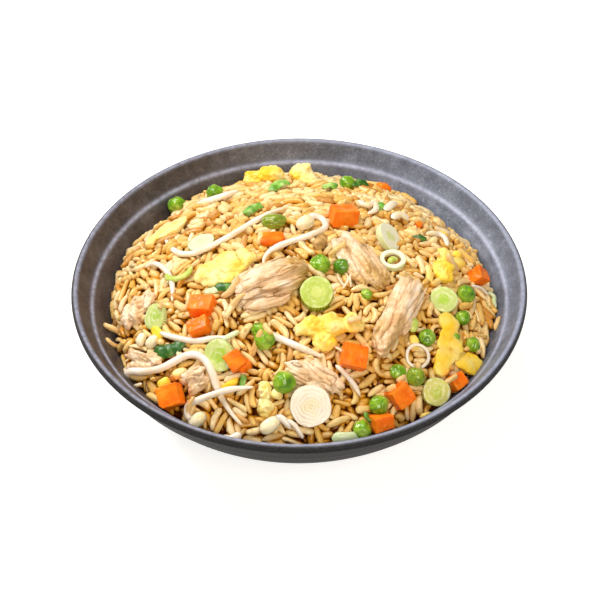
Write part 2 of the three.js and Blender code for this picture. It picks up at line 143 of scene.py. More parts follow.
def pieceFromArrays(name, points, faceSets, attributes={}):  # points in millimetres
    mesh = bpy.data.meshes.new(name)
    corners = np.concatenate([faces.ravel() for faces in faceSets]).astype(np.int32)
    counts = np.concatenate([np.full(len(faces), faces.shape[1]) for faces in faceSets])
    mesh.vertices.add(len(points))
    mesh.vertices.foreach_set("co", (np.asarray(points) * mm).astype(np.float32).ravel())
    mesh.loops.add(len(corners))
    mesh.loops.foreach_set("vertex_index", corners)
    mesh.polygons.add(len(counts))
    mesh.polygons.foreach_set("loop_start", np.concatenate([[0], np.cumsum(counts)[:-1]]).astype(np.int32))
    mesh.polygons.foreach_set("use_smooth", np.ones(len(counts), bool))
    mesh.update(calc_edges=True)
    piece = bpy.data.objects.new(name, mesh)
    bpy.context.scene.collection.objects.link(piece)
    for key, values in attributes.items():
        setAttribute(piece, key, values)
    return piece


def pointsOf(piece):  # in millimetres
    points = np.empty(len(piece.data.vertices) * 3, np.float32)
    piece.data.vertices.foreach_get("co", points)
    return points.reshape(-1, 3).astype(float) / mm


def normalsOf(piece):
    normals = np.empty(len(piece.data.vertices) * 3, np.float32)
    piece.data.vertices.foreach_get("normal", normals)
    return normals.reshape(-1, 3).astype(float)


def setPoints(piece, points):
    piece.data.vertices.foreach_set("co", (points * mm).astype(np.float32).ravel())
    piece.data.update()


def setAttribute(piece, name, values):
    layer = piece.data.attributes.get(name) or piece.data.attributes.new(name, "FLOAT", "POINT")
    layer.data.foreach_set("value", np.asarray(values, np.float32))


def unit(vectors):
    return vectors / np.linalg.norm(vectors, axis=-1, keepdims=True)


def flatNoise(x, y, z):
    return np.array([noise.noise(Vector((a, b, z))) for a, b in zip(x, y)])


def noiseAt(points, size, seed=0):  # smooth noise between -1 and 1 at each point
    shift = Vector((seed * 7.3, seed * 3.1, seed * 5.7))
    size = np.broadcast_to(size, 3)
    return np.array([noise.noise(Vector(p) + shift) for p in points / size]) * 1.6


def dress(piece, material, slotName, *nodes):
    piece.data.materials.clear()
    piece.data.materials.append(material)
    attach(piece, "root")
    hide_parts(*nodes)
    return piece


# The heap's form, as in the frame's solids, in millimetres and degrees.
heap = {"centreX": 1, "radius": 82, "edgeHeight": 33, "topHeight": 62, "roundness": 2.5, "lobeHeight": 0.9,
        "bareAngle": 190, "bareSpan": 0.07, "bareInset": 8, "bareSlope": 5, "bareDrop": 8}


def heapHeight(x, y):
    out = np.hypot(x - heap["centreX"], y)
    lobes = np.sin(x / 11 + 1.3) * np.cos(y / 13 - 0.4) + 0.6 * np.sin((x - y) / 7)
    dome = (heap["topHeight"] - heap["edgeHeight"]) * (1 - (out / heap["radius"]) ** heap["roundness"])
    turned = np.cos(np.arctan2(y, x - heap["centreX"]) - math.radians(heap["bareAngle"]))
    brink = heap["radius"] + 1 - heap["bareInset"] * np.exp((turned - 1) / heap["bareSpan"])
    past = np.clip((out - brink) / heap["bareSlope"], 0, 1)
    drop = heap["bareDrop"] * past ** 2 * (3 - 2 * past)
    return heap["edgeHeight"] + dome + heap["lobeHeight"] * lobes - drop


def heapNormal(x, y):
    step = 4
    slopeX = (heapHeight(x + step, y) - heapHeight(x - step, y)) / (2 * step)
    slopeY = (heapHeight(x, y + step) - heapHeight(x, y - step)) / (2 * step)
    return unit(np.stack([-slopeX, -slopeY, np.ones_like(slopeX)], -1))


def layOn(x, y, lift, turn, leanX=0, leanY=0):  # a place on the heap, its Z along the heap's normal
    normal = Vector(heapNormal(np.float64(x), np.float64(y)))
    up = Vector((0, 0, 1)).rotation_difference(normal)
    leanBack = Euler((math.radians(leanX), 0, 0)).to_quaternion()
    leanAside = Euler((0, math.radians(leanY), 0)).to_quaternion()
    spin = Quaternion((0, 0, 1), math.radians(turn))
    place = Vector((x, y, float(heapHeight(x, y)))) + normal * lift
    return Matrix.Translation(place) @ (leanBack @ leanAside @ up @ spin).to_matrix().to_4x4()


studio = {
    "worldColor": "#fff3e2",
    "worldStrength": 0.24,
    "tableSize": 6,  # in metres
    "tableGlow": 0.72,  # keeps the shadows faint
}
camera = {  # angles in degrees
    "distance": 800,
    "elevation": 43.4,
    "roll": -0.26,
    "lens": 115.4,
    "aim": (0.3, -6.1, 39.8),
}

view = math.radians(camera["elevation"])
bpy.ops.object.camera_add()
eye = bpy.context.object
eye.data.lens = camera["lens"]
eye.data.sensor_width = 36
outward = Vector((0, -math.cos(view), math.sin(view)))
eye.location = (Vector(camera["aim"]) + outward * camera["distance"]) * mm
level = (-outward).to_track_quat("-Z", "Y")
eye.rotation_euler = (level @ Quaternion((0, 0, 1), math.radians(camera["roll"]))).to_euler()
eye.data.clip_start = 0.01
bpy.context.scene.camera = eye

lights = {  # place in millimetres, size, watts, colour
    "window": ((-560, 330, 560), 200, 4.4, "#fdfbfb"),
    "skylight": ((-120, 200, 760), 360, 3.8, "#fffaf2"),
    "frontFill": ((160, -620, 560), 420, 3.7, "#fff3e0"),
}

for name, (place, size, watts, color) in lights.items():
    bpy.ops.object.light_add(type="AREA", location=Vector(place) * mm)
    lamp = bpy.context.object
    lamp.name = name
    lamp.data.size = size * mm
    lamp.data.energy = watts
    lamp.data.color = hexColor(color)[:3]
    lamp.rotation_euler = (Vector((0, 0, 40)) - Vector(place)).to_track_quat("-Z", "Y").to_euler()

world = bpy.data.worlds.new("studio")
bpy.context.scene.world = world
world.use_nodes = True
world.node_tree.nodes["Background"].inputs[0].default_value = hexColor(studio["worldColor"])
world.node_tree.nodes["Background"].inputs[1].default_value = studio["worldStrength"]
bpy.context.scene.view_settings.view_transform = "Standard"

bpy.ops.mesh.primitive_plane_add(size=studio["tableSize"])
table = bpy.context.object
table.name = "tableTop"
material, tree = newMaterial("matt white laminate")  # a plain pale table top
pale = colorOf(tree, [[(40, 2)], (0.3, "#d9d9d9"), (0.7, "#dddddd")])
shader = addNode(tree, "BsdfPrincipled", Base_Color=pale, Roughness=0.6, Emission_Color=hexColor("#ffffff"),
                 Emission_Strength=studio["tableGlow"])
addNode(tree, "OutputMaterial", Surface=shader)
table.data.materials.append(material)
print("camera, light and table made")


bowl = {
    "sides": 72,
    "outer": [(45, 0), (45.4, 2), (47.2, 3.2), (62, 7.6), (76.8, 16.4), (85.7, 27.6), (91.4, 38.6),
              (92.2, 40.4), (93.4, 41.2), (94.5, 42.2), (95, 44), (94.5, 45.6), (93.3, 46)],
    "inner": [(92.1, 45.6), (91.4, 44.4), (89.9, 41.6), (88.4, 39.5), (87.2, 38.5), (86, 37.7), (84.8, 36),
              (82.4, 32.6), (77.8, 26.4), (70.4, 18.8), (55, 11.6), (30, 8.7), (6, 8.1)],
    "foot": [(44.4, 0.05), (41.6, 0.05), (41, 0.6), (41, 3)],
}


def turnedPiece(name, profile, sides):  # a ring pushed up and scaled along the profile, as on a wheel
    deselectAll()
    radius, height = profile[0]
    bpy.ops.mesh.primitive_circle_add(vertices=sides, radius=radius * mm, fill_type="NGON",
                                      location=(0, 0, height * mm))
    piece = bpy.context.object
    piece.name = name
    bpy.ops.object.transform_apply(location=True)
    bpy.ops.object.mode_set(mode="EDIT")
    bpy.ops.mesh.select_all(action="SELECT")
    for newRadius, newHeight in profile[1:]:
        rise = (0, 0, (newHeight - height) * mm)
        bpy.ops.mesh.extrude_region_move(TRANSFORM_OT_translate={"value": rise})
        share = newRadius / radius
        bpy.ops.transform.resize(value=(share, share, 1))
        radius, height = newRadius, newHeight
    bpy.ops.mesh.select_all(action="SELECT")
    bpy.ops.mesh.normals_make_consistent(inside=False)
    bpy.ops.object.mode_set(mode="OBJECT")
    return piece


bowlProfile = [(41 * 0.2, 3)] + bowl["foot"][::-1] + bowl["outer"] + bowl["inner"]
stonewareBowl = turnedPiece("stonewareBowl", bowlProfile, bowl["sides"])
applyModifier(stonewareBowl, "SUBSURF", levels=2, render_levels=2)
points = pointsOf(stonewareBowl)
across = np.hypot(points[:, 0], points[:, 1])
points[:, 2] -= min(points[:, 2].min(), 0)
throwing = 0.16 * np.sin(across * 1.9 + 0.6 * np.sin(np.arctan2(points[:, 1], points[:, 0]) * 2))
onWall = np.clip((across - 50) / 10, 0, 1) * np.clip((92 - across) / 3, 0, 1)
onWall *= np.clip((39 - points[:, 2]) / 4, 0, 1)
points[:, 2] += throwing * onWall
setPoints(stonewareBowl, points)
across = np.hypot(points[:, 0], points[:, 1])
# Painted highlight along the ridge crest and the top of the lip, where the glaze also breaks thin over the
# edge.
wear = np.exp(-((across - 86.5) / 0.9) ** 2 - ((points[:, 2] - 38) / 1.1) ** 2)
wear += np.exp(-((points[:, 2] - 46) / 0.7) ** 2) * np.clip(2 * (93.9 - across), 0, 0.7)
setAttribute(stonewareBowl, "wear", np.clip(wear, 0, 1))
setAttribute(stonewareBowl, "warm", np.clip(0.5 - points[:, 0] / 90, 0, 1))  # painted shade: darker and browner on one side, with the food's reflection painted in
setAttribute(stonewareBowl, "outside", np.clip((across - 93.2) * 0.8, 0, 1) * (points[:, 2] > 40)
             + (normalsOf(stonewareBowl)[:, 2] < 0.05) * (points[:, 2] < 45))

# Reactive glaze on stoneware: slate grey with fine specks inside, lighter on the lip and the ridge, partly
# where it breaks thin and partly as painted highlight. Painted shade makes one side darker and browner,
# with a painted reflection of the food, and the dryer outside near black.
material, tree = newMaterial("satin slate glaze on stoneware")
coords = addNode(tree, "TexCoord", output="Object")
cloud = addNode(tree, "TexNoise", Vector=coords, Scale=1 / (7 * mm), Detail=6, Roughness=0.7)
cool = addNode(tree, "ValToRGB", stops=[(0.3, "#666e80"), (0.5, "#7e879b"), (0.72, "#98a2b8")], Fac=cloud)
# The shaded side's copy of the glaze, darker and browner: painted shade and a painted reflection of the
# food.
warm = addNode(tree, "ValToRGB", stops=[(0.3, "#423c3d"), (0.5, "#575052"), (0.72, "#72696d")], Fac=cloud)
base = addNode(tree, "Mix", {"data_type": "RGBA"}, 2, i0=maskOf(tree, "warm"), i6=cool, i7=warm)
speck = [(0.9, 1)]
speckTone = colorOf(tree, [speck, (0.3, "#1c1815"), (0.44, "#808080"), (0.6, "#808080"), (0.76, "#cfd0d8")])
overlay = {"data_type": "RGBA", "blend_type": "OVERLAY"}
specked = addNode(tree, "Mix", overlay, 2, i0=0.5, i6=base, i7=speckTone)
breakAndHighlightMask = maskOf(tree, (2.2, 4), maskOf(tree, "wear", 1.5))
edged = addNode(tree, "Mix", {"data_type": "RGBA"}, 2, i0=breakAndHighlightMask, i6=specked, i7=hexColor("#a9b0cc"))
# Painted shade: the outside and the undersides are coloured near black.
outsideShadeTone = colorOf(tree, [speck, (0.35, "#050506"), (0.5, "#0c0b0e"), (0.68, "#1e1c21")])
color = addNode(tree, "Mix", {"data_type": "RGBA"}, 2, i0=maskOf(tree, "outside"), i6=edged, i7=outsideShadeTone)
normal = addNode(tree, "Bump", Height=maskOf(tree, (1.1, 3)), Distance=0.12 * mm)
rough = maskOf(tree, "outside", 0.3, 0.45)
shader = addNode(tree, "BsdfPrincipled", Base_Color=color, Roughness=rough, IOR=1.45, Normal=normal)
addNode(tree, "OutputMaterial", Surface=shader)
dress(stonewareBowl, material, "stoneware", "bowl")
print("bowl turned:", len(stonewareBowl.data.polygons), "faces")


def bandFaces(rows, sides, closed=False):  # rings of points joined row by row, and two poles that come last
    index = np.arange(rows * sides).reshape(rows, sides)
    here = index if closed else index[:-1]
    ahead = np.roll(index, -1, 0) if closed else index[1:]
    quads = np.stack([here, np.roll(here, -1, 1), np.roll(ahead, -1, 1), ahead], -1).reshape(-1, 4)
    if closed:
        return quads, np.zeros((0, 3), int)
    first, last = index[0], index[-1]
    startCap = np.stack([np.full(sides, rows * sides), np.roll(first, -1), first], -1)
    endCap = np.stack([np.full(sides, rows * sides + 1), last, np.roll(last, -1)], -1)
    return quads, np.concatenate([startCap, endCap])


def joined(name, forms, attributes=()):  # forms are (points, faceSets, values); each stays a closed body
    points, quads, tris, values, start = [], [], [], [], 0
    for form in forms:
        points.append(form[0])
        for faces in form[1]:
            (quads if faces.shape[1] == 4 else tris).append(faces + start)
        values.append(form[2:])
        start += len(form[0])
    layers = {key: np.concatenate([value[i] for value in values]) for i, key in enumerate(attributes)}
    faceSets = [np.concatenate(sets) for sets in (quads, tris) if sets]
    return pieceFromArrays(name, np.concatenate(points), faceSets, layers)


def smoothPath(points, spacing):  # Catmull-Rom through given points, stepped evenly
    points = np.array(points, float)
    ends = np.vstack([2 * points[0] - points[1], points, 2 * points[-1] - points[-2]])
    t = np.linspace(0, 1, 16, endpoint=False)[:, None]
    fine = []
    for a, b, c, d in zip(ends, ends[1:], ends[2:], ends[3:]):
        fine.append(0.5 * (2 * b + (c - a) * t + (2 * a - 5 * b + 4 * c - d) * t ** 2
                           + (3 * b - 3 * c + d - a) * t ** 3))
    fine = np.vstack(fine + [points[-1:]])
    run = np.concatenate([[0], np.cumsum(np.linalg.norm(np.diff(fine, axis=0), axis=1))])
    stops = np.linspace(0, run[-1], max(4, int(run[-1] / spacing)))
    return np.stack([np.interp(stops, run, fine[:, i]) for i in range(3)], 1)


def onHeap(route):  # [x, y, lift] to points over the heap
    x, y, lift = np.array(route, float).T
    return np.stack([x, y, heapHeight(x, y)], 1) + heapNormal(x, y) * lift[:, None]


def strand(path, halfWidth, halfThick, sides, curl=0):  # a tube, wide across the heap or curled
    tangent = unit(np.gradient(path, axis=0))
    side = unit(np.cross(heapNormal(path[:, 0], path[:, 1]), tangent))
    over = np.cross(tangent, side)
    angle = np.arange(sides) * 2 * math.pi / sides
    wide, thick = np.reshape(halfWidth, (-1, 1, 1)), np.reshape(halfThick, (-1, 1, 1))
    cosine, sine = np.cos(angle)[None, :, None], np.sin(angle)[None, :, None]
    ring = (side[:, None] * (cosine * wide) + over[:, None] * (sine * thick)
            - over[:, None] * (curl * cosine ** 2 * wide))
    points = np.concatenate([(path[:, None] + ring).reshape(-1, 3), path[:1], path[-1:]])
    return points, bandFaces(len(path), sides)


def roundEnds(count, blunt):  # a share of full thickness at each step, that rounds off both ends
    t = np.linspace(0, 1, count)
    inner = np.clip(np.minimum(t, 1 - t) / blunt, 0, 1)
    return np.sqrt(1 - (1 - inner) ** 2) * 0.97 + 0.03


def ballForm(subdivisions):  # a ball of even triangles
    deselectAll()
    bpy.ops.mesh.primitive_ico_sphere_add(subdivisions=subdivisions, radius=mm)
    ball = bpy.context.object
    points = pointsOf(ball)
    faces = np.array([p.vertices[:] for p in ball.data.polygons])
    bpy.data.objects.remove(ball)
    return points, faces


def placed(points, matrix):
    return points @ np.array(matrix.to_3x3()).T + np.array(matrix.translation)


def softCopy(nodeName, name, voxel, smoothing):  # a CAD solid's copy, rounded and finely meshed
    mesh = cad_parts[nodeName].data.copy()
    piece = bpy.data.objects.new(name, mesh)
    bpy.context.scene.collection.objects.link(piece)
    makeActive(piece)
    bpy.ops.object.mode_set(mode="EDIT")
    bpy.ops.mesh.select_all(action="SELECT")
    bpy.ops.mesh.remove_doubles(threshold=0.002 * mm)
    bpy.ops.object.mode_set(mode="OBJECT")
    return roundOff(piece, voxel, smoothing)


def roundOff(piece, voxel, smoothing):
    applyModifier(piece, "REMESH", mode="VOXEL", voxel_size=voxel * mm, use_smooth_shade=True)
    if smoothing:
        applyModifier(piece, "SMOOTH", factor=0.5, iterations=smoothing)
    return piece


def pushOut(piece, height):  # moves each point along its normal, in millimetres
    setPoints(piece, pointsOf(piece) + normalsOf(piece) * np.reshape(height, (-1, 1)))


def treeOf(pieces):
    points, faces = [], []
    for piece in pieces:
        start = len(points)
        points += [v.co / mm for v in piece.data.vertices]
        faces += [[start + i for i in p.vertices] for p in piece.data.polygons]
    return BVHTree.FromPolygons(points, faces)


def numbered(kind, index):
    return f"{kind}_{index + 1:02d}"


draw = np.random.default_rng(11)
dressed = []  # every finished topping


def finishTopping(piece, material, slotName, *nodes):
    dress(piece, material, slotName, *nodes)
    dressed.append(piece)


sprouts = [  # stem radius, head radius at the start, and a route of [x, y, lift]
    (1.5, 0, [[-62.3, -48.7, 1.35], [-68, -45.6, 1.75], [-70, -42.8, 1.75], [-68, -41.6, 1.75],
              [-61.7, -44.6, 1.75], [-54.6, -46.6, 1.95], [-49.2, -46.6, 2.15], [-44, -46.4, 2.55],
              [-39.8, -47.6, 2.75], [-36.3, -50.6, 2.75], [-33.8, -55.2, 2.15], [-32.2, -59.5, 1.75],
              [-30, -64, 1.55], [-26.3, -69.5, 1.55], [-22.1, -74.3, 1.55]]),
    (1.3, 0, [[-55.7, 19.4, 1.5], [-53.2, 12.8, 1.5], [-49.4, 7.4, 1.5], [-43.8, 4.4, 1.7],
               [-38.6, 4.8, 1.9], [-28.1, 10, 2.1], [-20, 16.2, 1.9], [-11.9, 22.6, 1.7],
               [-4.2, 27.6, 1.5]]),
    (1.4, 3.7, [[2.6, 13.6, 3.1], [5.6, 18.4, 3.1], [9.4, 18, 2.25], [11, 13.4, 2.05], [9.6, 9.6, 2.05],
                [5.6, 6.6, 2.05], [0, 4, 2.05], [-6.6, 1.4, 2.05], [-11.4, -1.6, 2.05], [-13.8, -5.4, 1.85],
                [-14.2, -9.4, 1.65]]),
    (1.3, 3.7, [[-40, -68.6, 1.3], [-43.6, -67, 1.7], [-43.6, -63.6, 1.9], [-38.6, -62.8, 3.9],
                 [-32.4, -62.3, 5.1], [-25.6, -62, 4.1], [-17.2, -62.6, 1.9]]),
    (1.25, 0, [[-56, -31.4, 1.55], [-52.3, -34.2, 1.55], [-46, -38.4, 1.65], [-40, -41.6, 1.75],
               [-33.6, -42.6, 1.75], [-27, -43.2, 1.55]]),
    (1.45, 0, [[-15.8, -40.6, 1.6], [-10.6, -43.4, 1.8], [-5.4, -46.2, 1.8], [2, -50.2, 1.8],
               [9.2, -52.8, 1.6]]),
    (1.5, 0, [[-43.6, 43.2, 1.65], [-38.4, 41.4, 1.85], [-32, 42.4, 1.85], [-25.2, 46.4, 1.65]]),
    (1.15, 0, [[-63.8, 5.2, 1.45], [-60.6, 5.4, 1.85], [-57, 2.6, 1.85], [-53.2, -4, 1.65],
               [-51.2, -12, 1.45], [-51, -20.2, 1.45]]),
    (1.3, 3.9, [[-11.4, -75.4, 1.3], [-8, -73.4, 1.5], [-5.2, -75, 1.5], [-3.4, -77.2, 1.3]]),
    (1.05, 0, [[13.8, -55, 1.3], [18, -58, 1.3], [21.6, -62, 1.5], [23.6, -65.4, 1.5]]),
]

# Blanched mung bean sprouts: crisp, watery and nearly clear, so they look white and wet, with creamy heads.
sproutWhite = foodMaterial(
    "blanched bean sprout",
    [[(7, 2)], (0.3, "#e6d3b8"), (0.5, "#f2e6d8"), (0.7, "#f8f1ea")],
    [("head", [[(3, 2)], (0.3, "#f0dfac"), (0.6, "#faf0d2")]), ("tip", "#e5c98e", 0.6)], ((1.4, 2), 0.08),
    Roughness=0.22, IOR=1.36, Subsurface_Weight=0.5, Subsurface_Scale=2.2 * mm,
    Subsurface_Radius=(1.0, 0.85, 0.65), Coat_Weight=0.5, Coat_Roughness=0.08)


def beanHead(place, radius, seed):  # two seed halves with a cleft between them
    count, sides = 15, 20
    t = -np.cos(np.linspace(0, math.pi, count + 2)[1:-1])
    angle = np.arange(sides) * 2 * math.pi / sides
    girth = np.sqrt(1 - np.abs(t) ** 2.4)[:, None] * (1 + 0 * angle)[None]
    cleft = np.exp(-(np.sin(angle) / 0.22) ** 2)[None] * (0.1 + 0.25 * np.clip(t + 0.4, 0, 1))[:, None]
    girth = girth * (1 - cleft)
    along = np.broadcast_to(t[:, None], girth.shape)
    points = np.stack([along, girth * np.cos(angle), girth * np.sin(angle)], -1)
    points = np.concatenate([points.reshape(-1, 3), [[-1, 0, 0], [1, 0, 0]]])
    points *= np.array([1.15, 0.78, 0.8]) * radius
    points *= 1 + 0.05 * noiseAt(points, radius, seed)[:, None]
    return placed(points, place), bandFaces(count, sides)


for i, (stem, head, route) in enumerate(sprouts):
    path = smoothPath(onHeap(route), 0.9)
    count = len(path)
    t = np.linspace(0, 1, count)
    snapped = i == 5  # broken off square
    startShare = 0.4 if i == 0 else 0.55  # the first one starts in a finer tail
    fromStart = 1 if head or snapped else np.minimum(1, startShare + 2.5 * t)
    thick = stem * fromStart * np.minimum(1, 0.4 + 2.5 * (1 - t))
    thick = thick * (1 + 0.07 * noiseAt(path, 6, i)) * roundEnds(count, 1.6 / (0.9 * count))
    points, faces = strand(path, thick * 1.04, thick * 0.92, 12)
    ends = np.abs(np.linspace(-1, 1, count)) ** 8
    tip = np.concatenate([np.repeat(ends if not head else ends * (t > 0.5), 12), [0, 1]])
    forms = [(points, faces, np.zeros(len(points)), tip)]
    if head:
        x, y, lift = route[0]
        bean, beanFaces = beanHead(layOn(x, y, lift, 35), head, i)
        forms.append((bean, beanFaces, np.ones(len(bean)), np.zeros(len(bean))))
    piece = joined(f"beanSprout{i + 1:02d}", forms, ("head", "tip"))
    finishTopping(piece, sproutWhite, "sprout", numbered("sprout", i))
print("sprouts made")


# Place, heading, how brown all over and towards one end, how fibrous, and fibres as [across, from, to].
chicken = [
    {"at": (-12, -20.5), "turn": 24, "brown": 0.05, "side": 0.8, "fibrous": 1,
     "fibres": [[7, -13, 12], [4, -17, 15], [1, -14, 18], [-2, -18, 14], [-5, -15, 16], [-8, -12, 6]]},
    {"at": (24.6, -6.5), "turn": -62, "brown": 0.25, "side": 0.6, "fibrous": 0.6, "fibres": []},
    {"at": (39.2, -32.6), "turn": -111, "brown": 0.22, "side": 0.3, "fibrous": 0.7,
     "fibres": [[-4, -20, 18], [-1, -22, 21], [2, -19, 20], [4.6, -19, 5]]},
    {"at": (5.4, -60.4), "turn": -31, "brown": 0.05, "side": 0.0, "fibrous": 1,
     "fibres": [[-4, -11, 8], [-1.6, -13, 10], [1, -10, 13], [4, -7, 12]]},
    {"at": (-65.2, -16.6), "turn": 82, "brown": 0.0, "side": 0.0, "fibrous": 0, "fibres": []},
    {"at": (-40.2, -56.4), "turn": 20, "brown": 0.3, "side": 0.3, "fibrous": 0.8,
     "fibres": [[-2, -5, 6], [2, -6, 5]]},
    {"at": (-62.6, -40.6), "turn": -24, "brown": 0.1, "side": 0.1, "fibrous": 0.6,
     "fibres": [[-1.4, -10, 9], [1.6, -9, 8]]},
]

# Stewed and stir-fried chicken: long pale muscle fibres, browned in places, with painted shade brown in the
# creases.
chickenMeat = foodMaterial(
    "torn cooked chicken",
    [[(6, 3)], (0.3, "#e9bc8e"), (0.5, "#f6d8b4"), (0.7, "#fdeedc")],
    [("brown", [[(3, 3)], (0.3, "#b08640"), (0.7, "#dcb46a")]), ("crease", "#94662e")], ((0.7, 2), 0.08),
    Roughness=0.38, IOR=1.4, Specular_IOR_Level=0.3, Subsurface_Weight=0.15, Subsurface_Scale=1.2 * mm,
    Subsurface_Radius=(1.0, 0.55, 0.35), Coat_Weight=0.25, Coat_Roughness=0.25)

for i, spec in enumerate(chicken):
    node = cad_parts[numbered("chicken", i)]
    solidTree = treeOf([node])
    turn = math.radians(spec["turn"])
    along = np.array([math.cos(turn), math.sin(turn), 0])
    across = np.array([-math.sin(turn), math.cos(turn), 0])
    piece = softCopy(node.name, f"tornChicken{i + 1:02d}", 0.7, 2)
    threads = []
    for sideways, begin, finish in spec["fibres"]:
        path = []
        for u in np.linspace(begin, finish, 12):
            bend = 1.2 * noise.noise(Vector((u / 7, sideways, i * 3.3)))
            x, y, _ = np.array([*spec["at"], 0]) + along * u + across * (sideways + bend)
            hit = solidTree.ray_cast(Vector((x, y, 90)), Vector((0, 0, -1)))[0]
            ground = float(heapHeight(x, y)) + 1.4
            path.append((x, y, max(ground, hit.z - 0.3) if hit else ground))
        path = smoothPath(path, 0.8)
        path[1:-1, 2] = (path[:-2, 2] + 2 * path[1:-1, 2] + path[2:, 2]) / 4
        thick = 1.5 * roundEnds(len(path), 0.25) * (1 + 0.25 * noiseAt(path, 5, sideways))
        points, faces = strand(path, thick, 0.7 * thick, 8)
        threads.append((points, faces))
    if threads:
        fibrePiece = joined("fibres", threads)
        makeActive(piece)
        fibrePiece.select_set(True)
        bpy.ops.object.join()
    roundOff(piece, 0.42, 2)
    points = pointsOf(piece)
    local = np.stack([points @ along, points @ across, points[:, 2]], 1)
    coarse = noiseAt(local, (30, 3.2, 3.2), i)
    fine = noiseAt(local, (24, 1.2, 1.2), i + 9)
    split = np.clip(1 - np.abs(coarse) / 0.2, 0, 1) ** 1.5
    thread = np.clip(1 - np.abs(fine) / 0.3, 0, 1)
    relief = 0.3 * fine - 0.9 * split - 0.3 * thread + 0.4 * coarse
    grit = 0.5 - np.abs(noiseAt(points, 2.2, i))
    lumps = 0.6 * noiseAt(points, 6, i) + 0.7 * grit + 0.35 * noiseAt(points, 1.1, i + 2)
    pushOut(piece, spec["fibrous"] * relief + (1 - spec["fibrous"]) * lumps)
    # Painted shade: the splits between fibres and the pits of the lumps are coloured brown.
    setAttribute(piece, "crease", spec["fibrous"] * np.clip(0.75 * split + 0.45 * thread ** 2, 0, 1)
                 + (1 - spec["fibrous"]) * np.clip(-1.2 * grit, 0, 0.6))
    shade = spec["side"] * np.clip((points - [*spec["at"], 0]) @ along / 9 - 0.2, 0, 1)
    stain = 0.3 * noiseAt(local, (12, 4, 4), i + 5)
    setAttribute(piece, "brown", np.clip(spec["brown"] + shade + stain, 0, 1))
    finishTopping(piece, chickenMeat, "chicken", node.name)
print("chicken made")


eggs = {
    "pale": [0.4, 0.1, 0.7, 0.1, 0.25, 0.9, 0.7, 1.0],  # how much white shows in each piece
    "rough": [0.75, 0.42, 0.6, 0.7, 0.7, 0.3, 0.7, 0.9],  # how curdled, where 0 is a smooth set sheet
    "voxel": 0.42,
    "curd": (5.0, 1.1),  # size and height of the curds
    "crumb": (2.3, 0.9),  # and of the crumbs on them
}

# Scrambled egg: soft set curds, bright yellow yolk streaked with paler white, moist but not wet; its
# creases are painted deeper yellow as shade.
eggCurd = foodMaterial(
    "soft scrambled egg",
    [[(6, 3)], (0.25, "#f8c020"), (0.5, "#fcd63c"), (0.75, "#fde680")],
    [("pale", [[(6, 3)], (0.25, "#f5dc7c"), (0.6, "#f9eaac"), (0.8, "#fbf2ce")]), ("crease", "#ecb42c")],
    ((0.8, 2), 0.12), Roughness=0.4, IOR=1.4, Specular_IOR_Level=0.3, Subsurface_Weight=0.15,
    Subsurface_Scale=1.2 * mm, Subsurface_Radius=(1.0, 0.75, 0.3), Coat_Weight=0.2, Coat_Roughness=0.25)

for i, pale in enumerate(eggs["pale"]):
    node = numbered("egg", i)
    rough = eggs["rough"][i]
    piece = softCopy(node, f"scrambledEgg{i + 1:02d}", eggs["voxel"], int(14 - 10 * rough))
    points = pointsOf(piece)
    curds = noiseAt(points, eggs["curd"][0], i)
    crumbs = noiseAt(points, eggs["crumb"][0], i + 4)
    beads = 0.5 - np.abs(crumbs)
    grit = 0.4 - np.abs(noiseAt(points, 1.1, i + 6))
    pushOut(piece, eggs["curd"][1] * curds + rough * (eggs["crumb"][1] * beads + 0.45 * grit))
    # Painted shade: the low places between curds and crumbs are coloured deeper yellow.
    setAttribute(piece, "crease", np.clip(-0.6 * curds - 1.3 * rough * beads, 0, 0.85))
    points = pointsOf(piece)
    above = points[:, 2] - heapHeight(points[:, 0], points[:, 1])
    points[:, 2] -= (1 - rough) * np.clip(above - 2.4, 0, None)  # a set sheet lies flat
    setPoints(piece, points)
    setAttribute(piece, "pale", np.clip(pale + 0.5 * noiseAt(points, 7, i + 20), 0, 1))
    finishTopping(piece, eggCurd, "egg", node)
print("egg made")


onions = [  # x, y, radius, thickness, hole radius, turn, lean x, lean y, stretch, look of its layers
    (7, -25.9, 6.7, 5.4, 0, 0, 16, 0, 1, "lime"),
    (4.1, -70, 8.2, 3.4, 0, 0, 10, 2, 1, "cream"),
    (-31.1, -49.4, 6.5, 3, 0, 0, 16, -14, 1, "green"),
    (53, -57.2, 5.7, 3, 0, 0, 12, -14, 1, "yellow"),
    (57.9, -17.3, 5.6, 2.8, 0, 0, 16, -20, 1, "green"),
    (36.1, 10.8, 6.4, 3, 0, 40, 8, 28, 1, "white"),
    (46.3, -46.8, 5.1, 2, 3.9, 0, 18, -12, 1, "cream"),
    (38, -2.8, 5.4, 2.4, 3.5, 0, 6, -8, 1, "white"),
    (-57.2, -24.6, 4.9, 2.6, 0, 62, 22, -8, 1.15, "green"),
    (-40, 10.3, 5.2, 2, 0, 20, 2, 0, 1.1, "pale"),
]
onionLooks = {  # centre, layers, layer edges, rim and side
    "lime": ("#cdd870", "#b4c850", "#dbe29c", "#cdd98a", "#a9c13c"),
    "green": ("#a6cc24", "#c6d67c", "#eef0cc", "#d6e2a2", "#a9c45a"),
    "yellow": ("#b4c41c", "#d6d268", "#f2eecc", "#e2e0a4", "#b4c148"),
    "cream": ("#e8d8ac", "#ece0cc", "#ccb88e", "#f2eadc", "#e2d2b0"),
    "white": ("#d2d986", "#f0ecd8", "#e0e2b4", "#e9ecc6", "#d6dca2"),
    "pale": ("#c4d8a4", "#d3e0b4", "#e6edd0", "#dfe8c4", "#9cc25c"),
}


